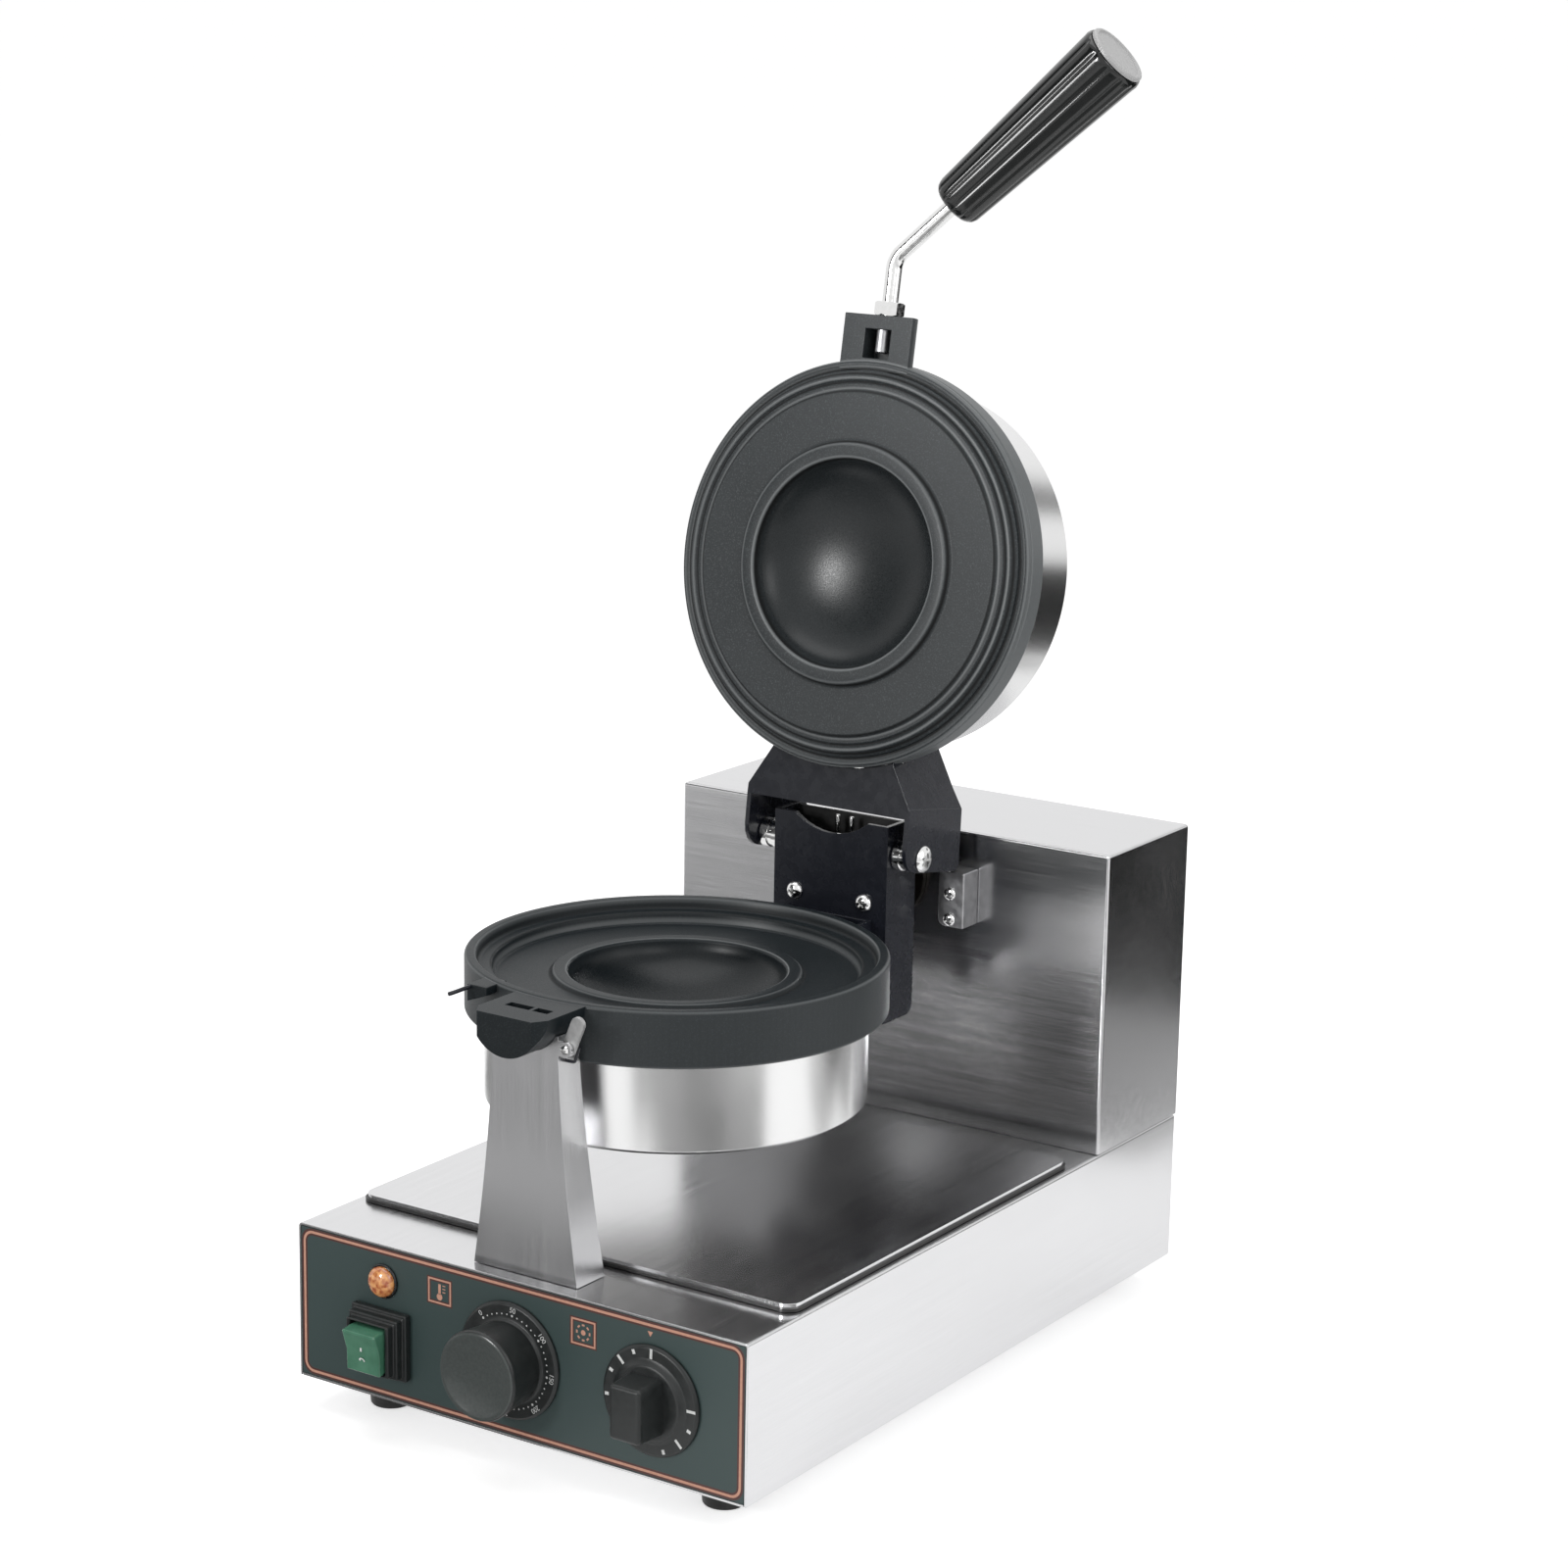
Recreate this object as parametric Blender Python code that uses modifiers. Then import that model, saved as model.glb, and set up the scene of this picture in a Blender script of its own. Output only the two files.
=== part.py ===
"""UFO burger maker: a countertop press with two round heated moulds.

The origin is on the table, under the middle of the machine. X runs to the right, Y from the control panel to
the tower and Z up. The lid stands open, as it does while the lower mould is filled. Lengths are in metres.
"""

import math

import bmesh
import bpy
from mathutils import Matrix, Vector

for old in list(bpy.data.objects):
    bpy.data.objects.remove(old, do_unlink=True)

# Fits and counts
GAP = 0.0003
OVERRUN = 0.003
ROUND = 40
KNOB_ROUND = 28
MEDIUM_ROUND = 20
SMALL_ROUND = 12
TINY_ROUND = 8
ARC_STEPS = 4

# Base
BASE_WIDTH = 0.260
BASE_HEIGHT = 0.0775
SHEET = 0.0012
FOLD_RADIUS = 0.0016
FOOT_HEIGHT = 0.016
FOOT_RADIUS = 0.0115
FOOT_TAPER = 0.0015
FOOT_SIDE_INSET = 0.032
FOOT_END_INSET = 0.0295
FOOT_RECESS_RADIUS = 0.005
FOOT_RECESS_DEPTH = 0.006
FLOOR_SLOTS = 8
FLOOR_SLOT_WIDTH = 0.0035
FLOOR_SLOT_LENGTH = 0.070
FLOOR_SLOT_PITCH = 0.014
WIRE_HOLE_RADIUS = 0.014
DECK_SIDE_INSET = 0.0045
DECK_FRONT = 0.041
DECK_BACK_CLEAR = 0.0226
DECK_RISE = 0.0038
DECK_CORNER = 0.007

# Tower
TOWER_DEPTH = 0.0834
TOWER_CLEAR = 0.0276
TOWER_RISE = 0.1568
BACK_SLOTS = 6
BACK_SLOT_WIDTH = 0.0035
BACK_SLOT_LENGTH = 0.090
BACK_SLOT_PITCH = 0.011
STOP_LEFT = 0.040
STOP_WIDTH = 0.015
STOP_HEIGHT = 0.029
STOP_DEPTH = 0.0146
STOP_CORNER = 0.004

# Control panel, with places measured from the middle and the bottom of the base
PANEL_THICKNESS = 0.002
LAMP_INSET = 0.0525
LAMP_X = LAMP_INSET - BASE_WIDTH / 2
LAMP_RISE = 0.0597
LAMP_BEZEL_RADIUS = 0.0085
LAMP_BEZEL_REACH = 0.0024
LAMP_SLEEVE_RADIUS = 0.0062
LAMP_SLEEVE_WALL = 0.0010
LAMP_SLEEVE_DEPTH = 0.016
LENS_RADIUS = 0.0069
LENS_REACH = 0.0055
SWITCH_INSET = 0.0522
SWITCH_X = SWITCH_INSET - BASE_WIDTH / 2
SWITCH_RISE = 0.0300
SWITCH_SIDE = 0.033
SWITCH_STEPS = 3
SWITCH_STEP_INSET = 0.0019
SWITCH_STEP_REACH = 0.0042
SWITCH_LAP_SHARE = 0.5
SWITCH_EDGE = 0.0008
SWITCH_BODY_WIDTH = 0.0245
SWITCH_BODY_HEIGHT = 0.027
SWITCH_BODY_DEPTH = 0.020
SWITCH_POCKET_DEPTH = 0.013
ROCKER_WIDTH = 0.0200
ROCKER_HEIGHT = 0.0212
ROCKER_REACH = 0.0178
ROCKER_DISH = 0.0016
ROCKER_SIDE = 0.0060
ROCKER_BACK_SHARE = 0.78
ROCKER_CLEAR = 0.0011
ROCKER_TILT = math.radians(10)
THERMO_X = -0.002
THERMO_RISE = 0.0385
THERMO_REACH = 0.026
THERMO_SKIRT_RADIUS = 0.0285
THERMO_KNOB_RADIUS = 0.0196
THERMO_FLARE = 0.0022
TIMER_INSET = 0.0516
TIMER_X = BASE_WIDTH / 2 - TIMER_INSET
TIMER_RISE = 0.0387
TIMER_REACH = 0.022
TIMER_SKIRT_RADIUS = 0.0265
TIMER_GRIP_WIDTH = 0.0190
TIMER_GRIP_HEIGHT = 0.027
TIMER_GRIP_EDGE = 0.0022
TIMER_HUB_RADIUS = 0.0190
TIMER_HUB_REACH = 0.0052
TIMER_HUB_DRAFT = 0.0012
SKIRT_THICKNESS = 0.0026
KNOB_EDGE = 0.0016
SPINDLE_RADIUS = 0.003
SPINDLE_SEAT = 0.008
CONTROL_BODY_SIDE = 0.040
CONTROL_BODY_DEPTH = 0.030
TERMINAL_WIDTH = 0.044
TERMINAL_DEPTH = 0.020
TERMINAL_HEIGHT = 0.016
TERMINAL_BACK = 0.050
TERMINAL_WAYS = 4
TERMINAL_WAY_WIDTH = 0.0065
TERMINAL_WAY_DEPTH = 0.006
GLAND_INSET = 0.045
GLAND_X = GLAND_INSET - BASE_WIDTH / 2
GLAND_RISE = 0.032
GLAND_REACH = 0.018
GLAND_RADIUS = 0.0095
GLAND_NUT_LENGTH = 0.006
GLAND_NUT_RADIUS = 0.0115
GLAND_THREAD_RADIUS = 0.0075
GLAND_TAIL = 0.009
GLAND_BORE_RADIUS = 0.0035

# Front stand
STAND_FRONT = 0.008
STAND_SHEET = 0.0015
STAND_FOOT_HALF = 0.0298
STAND_TOP_HALF = 0.0185
STAND_FLARE_SHARE = 1.6
STAND_FLARE_STEPS = 10
STAND_FOOT_DEPTH = 0.021
STAND_TOP_DEPTH = 0.0145
STAND_CLEAR = 0.002
STAND_TOP_DROP = 0.0104
STAND_FOOT_FLANGE = 0.0015
CATCH_PIVOT_X = 0.0226
CATCH_PIVOT_DROP = 0.016
CATCH_LENGTH = 0.0168
CATCH_HALF_WIDTH = 0.0035
CATCH_THICKNESS = 0.002
CATCH_LEAN = math.radians(23)
CATCH_ROUND_SHARE = 0.95
CATCH_LUG_RADIUS = 0.0035
CATCH_LUG_ROUND_SHARE = 0.9
RIVET_RADIUS = 0.0012
RIVET_HEAD_RADIUS = 0.0021
RIVET_HEAD_THICKNESS = 0.0007
SPRING_WIRE_RADIUS = 0.0008
SPRING_BACK = 0.0065
SPRING_DROP = 0.0072
SPRING_REACH = 0.0042
SPRING_RISE = 0.0075
SPRING_FLAT_SHARE = 0.8
SPRING_TURN_SHARE = 0.25
SPRING_LEAN_SHARE = 0.35

# Head: the turning assembly, with the shaft's axis in the plane where the moulds part
AXIS_RISE = 0.1285
MOULD_RADIUS = 0.1015
MOULD_SETBACK = STAND_FRONT + STAND_TOP_DEPTH + STAND_CLEAR + MOULD_RADIUS
BAND_WALL = 0.0055
BAND_EDGE = 0.0012
CAST_WALL = 0.005
SEAT_GAP = 0.0004
LAND_INSET = 0.0165
LAND_RADIUS = MOULD_RADIUS - LAND_INSET
LAND_RISE = 0.0047
STEP_INSET = 0.0075
STEP_RADIUS = MOULD_RADIUS - STEP_INSET
STEP_DROP = 0.002
RIDGE_INSET = 0.023
RIDGE_RADIUS = LAND_RADIUS - RIDGE_INSET
RIDGE_RISE = 0.0035
RIDGE_SLOPE = 0.0018
POCKET_INSET = 0.010
POCKET_RADIUS = RIDGE_RADIUS - POCKET_INSET
POCKET_DEPTH = 0.023
POCKET_STEPS = 5
POCKET_BACK_STEPS = 3
FLANGE_WIDTH = 0.0025
GROOVE_DEPTH = 0.0015
UPPER_BAND = 0.017
LOWER_BAND = 0.0275
LOWER_RIM = 0.005
BASIN_SLOPE = 0.002
BASIN_SHELF_INSET = 0.013
BASIN_SHELF_RADIUS = MOULD_RADIUS - BASIN_SHELF_INSET
BASIN_SHELF_DEPTH = 0.0057
BASIN_STEP_SLOPE = 0.0015
BASIN_DEPTH = 0.0115
RIDGE_CLEAR = 0.0008
BEAD_HEIGHT = 0.0050
BEAD_DEPTH = 0.0009
DRUM_INSET = 0.0095
DRUM_RADIUS = MOULD_RADIUS - DRUM_INSET
DRUM_SHEET = 0.001
DRUM_EDGE = 0.0018
UPPER_DRUM_LENGTH = 0.0422
LOWER_DRUM_LENGTH = 0.0442
HEATER_INSET = 0.020
HEATER_RADIUS = DRUM_RADIUS - HEATER_INSET
HEATER_TUBE_RADIUS = 0.004
HEATER_STEPS = 20
HEATER_GAP_TURN = math.radians(24)
HEATER_TAIL = 0.016
BOSS_RADIUS = 0.009
DRUM_SCREW_RADIUS = 0.003
DRUM_SCREW_SEAT = 0.004
DRUM_SCREW_HEAD_RADIUS = 0.0062
DRUM_SCREW_HEAD = 0.0045

# Journals at the front of the moulds
JOURNAL_RADIUS = 0.020
JOURNAL_REACH = 0.0322
JOURNAL_FRONT = MOULD_RADIUS + JOURNAL_REACH
UPPER_TAB_REACH = 0.0225
UPPER_TAB_FRONT = MOULD_RADIUS + UPPER_TAB_REACH
TAB_RELIEF = 0.0005
TAB_TAPER_LENGTH = 0.007
TAB_TAPER_WIDTH = 0.0045
UPPER_TAB_CORNER = 0.006
SLOT_FRONT_REACH = 0.0175
SLOT_FRONT = MOULD_RADIUS + SLOT_FRONT_REACH
SLOT_BACK_REACH = 0.0125
SLOT_BACK = MOULD_RADIUS + SLOT_BACK_REACH
SLOT_LEFT = 0.011
SLOT_RIGHT = 0.013
SLOT_BRIDGE = 0.002
SLOT_BRIDGE_X = 0.0035
SLOT_DEPTH = 0.008
WINDOW_LEFT = 0.007
WINDOW_RIGHT = 0.008
WINDOW_WALL = 0.007
WINDOW_FRONT = UPPER_TAB_FRONT - WINDOW_WALL
WINDOW_BACK_REACH = 0.001
WINDOW_BACK = MOULD_RADIUS + WINDOW_BACK_REACH
WINDOW_DEPTH = 0.012
WINDOW_LUG_WIDTH = 0.004
WINDOW_LUG_LENGTH = 0.006
WINDOW_LUG_HEIGHT = 0.009
PIN_X = 0.0437
PIN_DROP = 0.0016
PIN_RADIUS = 0.001
LUG_REACH = 0.0018
LUG_FRONT = MOULD_RADIUS + LUG_REACH
LUG_ROOT = 0.0135
LUG_BACK = MOULD_RADIUS - LUG_ROOT
PIN_REACH = 0.0142
PIN_FRONT = LUG_FRONT + PIN_REACH
PIN_SEAT = 0.010
LUG_INNER_X = 0.034
LUG_OUTER_X = 0.0455
LUG_DEPTH = 0.009

# Shaft, its bearings and the hinge channel
SHAFT_RADIUS = 0.014
SHAFT_BORE_RADIUS = 0.010
SHAFT_FLANGE_RADIUS = 0.027
SHAFT_FLANGE_THICKNESS = 0.004
SHAFT_SLOT_WIDTH = 0.012
BUSHING_WALL = 0.0035
BUSHING_FLANGE_RADIUS = 0.024
BUSHING_FLANGE_THICKNESS = 0.003
BUSHING_TAIL = 0.003
RUN_GAP = 0.0004
FRAME_THICKNESS = 0.003
FRAME_WIDTH = 0.084
FRAME_ABOVE_AXIS = 0.024
FRAME_BELOW_AXIS = 0.060
FRAME_DEPTH = 0.054
COLLAR_RADIUS = 0.020
COLLAR_LENGTH = 0.006
COLLAR_GRIP = 0.0043
CHANNEL_CLEAR = 0.0305
CHANNEL_SETBACK = MOULD_RADIUS + CHANNEL_CLEAR
CHANNEL_WIDTH = 0.068
CHANNEL_DEPTH = 0.027
CHANNEL_SHEET = 0.0025
CHANNEL_ABOVE_AXIS = 0.039
CHANNEL_BELOW_AXIS = 0.0635
CHANNEL_NOTCH_WIDTH = 0.0435
CHANNEL_NOTCH_DEPTH = 0.008
CHANNEL_CORNER = 0.006
CHANNEL_SCREW_X = 0.0208
CHANNEL_SCREW_DROP = 0.002
CHANNEL_SCREW_RADIUS = 0.0022
CHANNEL_SCREW_HEAD_RADIUS = 0.0046
CHANNEL_SCREW_HEAD = 0.003
CHANNEL_SCREW_DOME_SHARE = 0.9
ARM_WIDTH = 0.052
ARM_SHEET = 0.0025
ARM_TOP_DROP = 0.010
ARM_BOTTOM_DROP = 0.058

# Hinge and lid bracket, measured from the middle of the closed upper mould
LID_OPEN = math.radians(100)
HINGE_INSET = 0.010
HINGE_REACH = CHANNEL_SETBACK + HINGE_INSET
HINGE_RISE = 0.023
BRACKET_SHEET = 0.0025
BRACKET_HALF_WIDTH = 0.0485
BRACKET_NECK_HALF_WIDTH = 0.030
BRACKET_NECK_LAP = 0.0155
BRACKET_NECK_REACH = MOULD_RADIUS - BRACKET_NECK_LAP
BRACKET_SHOULDER_OUT = 0.0155
BRACKET_SHOULDER_REACH = MOULD_RADIUS + BRACKET_SHOULDER_OUT
BRACKET_WEB_RISE = 0.005
BRACKET_WEB_CLEAR = 0.010
BRACKET_WEB_REACH = CHANNEL_SETBACK - BRACKET_WEB_CLEAR
BRACKET_CHIN_RISE = 0.0065
BRACKET_EAR_END = 0.007
BRACKET_BACK_REACH = HINGE_REACH + BRACKET_EAR_END
BRACKET_TOP_RISE = 0.060
BRACKET_NECK_TOP_RISE = 0.055
BRACKET_NECK_TOP_OUT = 0.0055
BRACKET_NECK_TOP_REACH = MOULD_RADIUS + BRACKET_NECK_TOP_OUT
BRACKET_CHIN_CORNER = 0.012
BRACKET_TOP_CORNER = 0.004
BOLT_RADIUS = 0.004
BOLT_HEAD_RADIUS = 0.0068
BOLT_HEAD = 0.0032
BOLT_EDGE = 0.0010
SPACER_RADIUS = 0.0075
NUT_RADIUS = 0.0075
NUT_LENGTH = 0.0062
BOLT_TAIL = 0.0016

# Crank handle
HANDLE_RISE = 0.010
ROD_RADIUS = 0.004
ROD_SEAT = 0.0055
HANDLE_NUT_LENGTH = 0.0068
ROD_STRAIGHT = 0.029
ROD_BEND_REACH = UPPER_TAB_FRONT + ROD_STRAIGHT
ROD_BEND_RADIUS = 0.012
ROD_BEND_STEPS = 6
ROD_TURN = math.radians(46.8)
ROD_ARM = 0.041
GRIP_LENGTH = 0.110
GRIP_NEAR_RADIUS = 0.0132
GRIP_FAR_RADIUS = 0.0176
GRIP_NOSE = 0.0045
GRIP_NOSE_SHARES = ((0.72, 0, 0), (0.93, 0.3, 0.4))
GRIP_FADE_SHARE = 0.4
GRIP_FLUTES = 12
GRIP_FLUTE_DEPTH = 0.0007
GRIP_BORE_DEPTH = 0.034
CAP_RADIUS = 0.0162
CAP_THICKNESS = 0.0024
CAP_RIM = 0.0020
CAP_DISH = 0.0008

# Places that follow from these sizes
BASE_DEPTH = MOULD_SETBACK + CHANNEL_SETBACK + CHANNEL_DEPTH + TOWER_CLEAR + TOWER_DEPTH
DECK_BACK = BASE_DEPTH - TOWER_DEPTH - DECK_BACK_CLEAR
Y_FRONT = -(BASE_DEPTH + GLAND_REACH - THERMO_REACH) / 2
Y_BACK = Y_FRONT + BASE_DEPTH
Y_TOWER = Y_BACK - TOWER_DEPTH
Z_BASE = FOOT_HEIGHT
Z_DECK = Z_BASE + BASE_HEIGHT
Z_TOWER = Z_DECK + TOWER_RISE
Z_AXIS = Z_DECK + AXIS_RISE
Y_MOULD = Y_FRONT + MOULD_SETBACK
COLLAR_START = Y_TOWER - Y_MOULD + SHEET + FRAME_DEPTH + BUSHING_FLANGE_THICKNESS + GAP * 3
SHAFT_BACK = COLLAR_START + COLLAR_GRIP
LAND = -LAND_RISE
RIDGE = LAND - RIDGE_RISE
BASIN_RIDGE = RIDGE - RIDGE_CLEAR
BACK_PLATE = LAND + CAST_WALL + GROOVE_DEPTH
UPPER_POCKET = RIDGE + POCKET_DEPTH
LOWER_POCKET = BASIN_RIDGE - POCKET_DEPTH
BASIN_UNDERSIDE = -BASIN_DEPTH - CAST_WALL

# Turns that lay a piece drawn in its own X and Y flat against another plane
TO_FRONT = (math.pi / 2, 0, 0)
TO_BACK = (-math.pi / 2, 0, 0)
TO_SIDE = (math.pi / 2, 0, math.pi / 2)
TO_LEFT = (0, -math.pi / 2, 0)
TO_RIGHT = (0, math.pi / 2, 0)
NO_TURN = (0, 0, 0)


def new_collection(name):
    made = bpy.data.collections.new(name)
    bpy.context.scene.collection.children.link(made)
    return made


PARTS = new_collection("ufo_burger_maker")
CUTTERS = new_collection("cutters")


def finish(name, colour, roughness, metallic):
    """A Principled material, by its colour, roughness and metallic value."""
    made = bpy.data.materials.new(name)
    made.use_nodes = True
    shader = made.node_tree.nodes["Principled BSDF"]
    shader.inputs["Base Color"].default_value = (*colour, 1)
    shader.inputs["Roughness"].default_value = roughness
    shader.inputs["Metallic"].default_value = metallic
    made.diffuse_color = (*colour, 1)
    return made


STAINLESS = finish("stainless", (0.62, 0.62, 0.63), 0.35, 1)
BRUSHED = finish("brushed_drum", (0.66, 0.66, 0.66), 0.30, 1)
CAST_BLACK = finish("cast_coating", (0.045, 0.058, 0.062), 0.45, 0.3)
BLACK_PAINT = finish("black_paint", (0.018, 0.020, 0.028), 0.28, 0)
CHROME = finish("chrome", (0.80, 0.80, 0.80), 0.12, 1)
STEEL = finish("plain_steel", (0.45, 0.45, 0.46), 0.45, 1)
BRONZE = finish("bearing_bronze", (0.50, 0.34, 0.16), 0.45, 1)
PANEL_GREEN = finish("panel_film", (0.055, 0.070, 0.066), 0.45, 0)
BLACK_PLASTIC = finish("black_plastic", (0.015, 0.015, 0.016), 0.30, 0)
RUBBER = finish("rubber", (0.012, 0.012, 0.012), 0.80, 0)
LAMP_ORANGE = finish("lamp_orange", (0.70, 0.20, 0.06), 0.20, 0)
ROCKER_GREEN = finish("rocker_green", (0.09, 0.30, 0.15), 0.25, 0)
CAP_GREY = finish("cap_grey", (0.45, 0.45, 0.45), 0.50, 0)
NYLON = finish("terminal_nylon", (0.75, 0.73, 0.66), 0.55, 0)
BAKELITE = finish("control_bakelite", (0.05, 0.035, 0.03), 0.50, 0)


def put(obj, parent, at, turn):
    obj.parent = parent
    obj.location = at
    obj.rotation_euler = turn
    return obj


def piece(name, mesh, material, parent=None, at=(0, 0, 0), turn=NO_TURN):
    """A named sub-part with its own material slot."""
    made = bpy.data.objects.new(name, mesh)
    mesh.materials.append(material)
    PARTS.objects.link(made)
    return put(made, parent, at, turn)


def tool(mesh, parent=None, at=(0, 0, 0), turn=NO_TURN):
    """A shape that only cuts, joins or trims another one."""
    made = bpy.data.objects.new("tool", mesh)
    made.hide_render = True
    made.display_type = "WIRE"
    CUTTERS.objects.link(made)
    return put(made, parent, at, turn)


def boolean(obj, other, operation):
    step = obj.modifiers.new(operation.lower(), "BOOLEAN")
    step.operation = operation
    step.solver = "EXACT"
    step.object = other


def cut(obj, *others):
    for other in others:
        boolean(obj, other, "DIFFERENCE")


def join(obj, *others):
    for other in others:
        boolean(obj, other, "UNION")


def trim(obj, other):
    boolean(obj, other, "INTERSECT")


def soften(obj, width, segments=2):
    step = obj.modifiers.new("soft edges", "BEVEL")
    step.width = width
    step.segments = segments
    step.limit_method = "ANGLE"


def mesh_of(shape, name="shape"):
    made = bpy.data.meshes.new(name)
    shape.to_mesh(made)
    shape.free()
    return made


def block_mesh(low, high):
    """A box between two corners."""
    shape = bmesh.new()
    bmesh.ops.create_cube(shape, size=1)
    low, high = Vector(low), Vector(high)
    shape.transform(Matrix.Translation((low + high) / 2) @ Matrix.Diagonal((*(high - low), 1)))
    return mesh_of(shape)


def blocks_mesh(corner_pairs):
    """Several boxes in one mesh, for a row of slots."""
    shape = bmesh.new()
    for low, high in corner_pairs:
        low, high = Vector(low), Vector(high)
        fit = Matrix.Translation((low + high) / 2) @ Matrix.Diagonal((*(high - low), 1))
        bmesh.ops.create_cube(shape, size=1, matrix=fit)
    return mesh_of(shape)


def rod_mesh(radius, low, high, segments=SMALL_ROUND, turn=0):
    """A cylinder along Z, or a prism where the segments are few."""
    shape = bmesh.new()
    fit = Matrix.Translation((0, 0, (low + high) / 2)) @ Matrix.Rotation(turn, 4, "Z")
    bmesh.ops.create_cone(
        shape, cap_ends=True, segments=segments, radius1=radius, radius2=radius, depth=high - low, matrix=fit
    )
    return mesh_of(shape)


def turned_mesh(profile):
    """The half section of a turned piece, as (radius, height) points down its outer side."""
    shape = bmesh.new()
    points = [shape.verts.new((radius, 0, height)) for radius, height in profile]
    for start, end in zip(points, points[1:]):
        shape.edges.new((start, end))
    if profile[0][0] > 0:
        shape.edges.new((points[-1], points[0]))
    return mesh_of(shape)


def spin(obj, segments):
    """Turns a half section into the solid."""
    step = obj.modifiers.new("turn", "SCREW")
    step.steps = segments
    step.render_steps = segments
    step.use_merge_vertices = True
    step.merge_threshold = 0.0001
    return obj


def turned(name, profile, material, parent=None, at=(0, 0, 0), turn=NO_TURN, segments=SMALL_ROUND):
    return spin(piece(name, turned_mesh(profile), material, parent, at, turn), segments)


def arc(centre, radius, start, end, steps, stretch=1):
    """Points along an arc, with its height stretched where the curve is a part of an ellipse."""
    turns = [start + (end - start) * step / steps for step in range(steps + 1)]
    return [(centre[0] + radius * math.cos(t), centre[1] + stretch * radius * math.sin(t)) for t in turns]


def rounded(corners):
    """An outline from (x, y, radius) corners, each of them rounded by its radius."""
    outline = []
    for index, (x, y, radius) in enumerate(corners):
        here = Vector((x, y))
        if radius == 0:
            outline.append((x, y))
            continue
        before = (Vector(corners[index - 1][:2]) - here).normalized()
        after = (Vector(corners[(index + 1) % len(corners)][:2]) - here).normalized()
        half = before.angle(after) / 2
        centre = here + (before + after).normalized() * radius / math.sin(half)
        first = here + before * radius / math.tan(half) - centre
        last = here + after * radius / math.tan(half) - centre
        sweep = first.angle_signed(last)
        for step in range(ARC_STEPS + 1):
            spoke = Vector(first)
            spoke.rotate(Matrix.Rotation(-sweep * step / ARC_STEPS, 2))
            outline.append(tuple(centre + spoke))
    return outline


def flat_mesh(outline, low, high):
    """A plate: an outline in X and Y, filled, and as thick as from low to high."""
    curve = bpy.data.curves.new("outline", "CURVE")
    curve.dimensions = "2D"
    curve.fill_mode = "BOTH"
    curve.extrude = (high - low) / 2
    line = curve.splines.new("POLY")
    line.points.add(len(outline) - 1)
    for point, (x, y) in zip(line.points, outline):
        point.co = (x, y, 0, 1)
    line.use_cyclic_u = True
    return solid_of(curve, Matrix.Translation((0, 0, (low + high) / 2)))


def solid_of(curve, fit=None):
    """The mesh of a curve, with its caps welded on, so that it can be cut."""
    holder = bpy.data.objects.new("curve", curve)
    CUTTERS.objects.link(holder)
    depsgraph = bpy.context.evaluated_depsgraph_get()
    raw = bpy.data.meshes.new_from_object(holder.evaluated_get(depsgraph))
    bpy.data.objects.remove(holder, do_unlink=True)
    shape = bmesh.new()
    shape.from_mesh(raw)
    bmesh.ops.remove_doubles(shape, verts=shape.verts, dist=0.00001)
    bmesh.ops.recalc_face_normals(shape, faces=shape.faces)
    if fit:
        shape.transform(fit)
    return mesh_of(shape)


def wire_mesh(points, radius, bevel_resolution):
    """A round wire through points."""
    curve = bpy.data.curves.new("wire", "CURVE")
    curve.dimensions = "3D"
    curve.bevel_depth = radius
    curve.bevel_resolution = bevel_resolution
    curve.use_fill_caps = True
    line = curve.splines.new("POLY")
    line.points.add(len(points) - 1)
    for point, place in zip(line.points, points):
        point.co = (*place, 1)
    return solid_of(curve)


def open_box_mesh(low, high, open_sides):
    """The walls of a box as one surface, without the sides whose outward directions are given."""
    shape = bmesh.new()
    bmesh.ops.create_cube(shape, size=1)
    low, high = Vector(low), Vector(high)
    shape.transform(Matrix.Translation((low + high) / 2) @ Matrix.Diagonal((*(high - low), 1)))
    shape.normal_update()
    gone = [face for face in shape.faces if any(face.normal.dot(Vector(side)) > 0.9 for side in open_sides)]
    bmesh.ops.delete(shape, geom=gone, context="FACES")
    return mesh_of(shape)


def folded(obj, radius, sheet):
    """Gives a surface its fold radii and its sheet thickness, inwards."""
    soften(obj, radius)
    step = obj.modifiers.new("sheet", "SOLIDIFY")
    step.thickness = sheet
    step.offset = -1
    step.use_even_offset = True


def joint_empty(name, at, parent=None, turn=NO_TURN):
    made = bpy.data.objects.new(name, None)
    made.empty_display_size = SHAFT_RADIUS
    PARTS.objects.link(made)
    return put(made, parent, at, turn)


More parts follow.
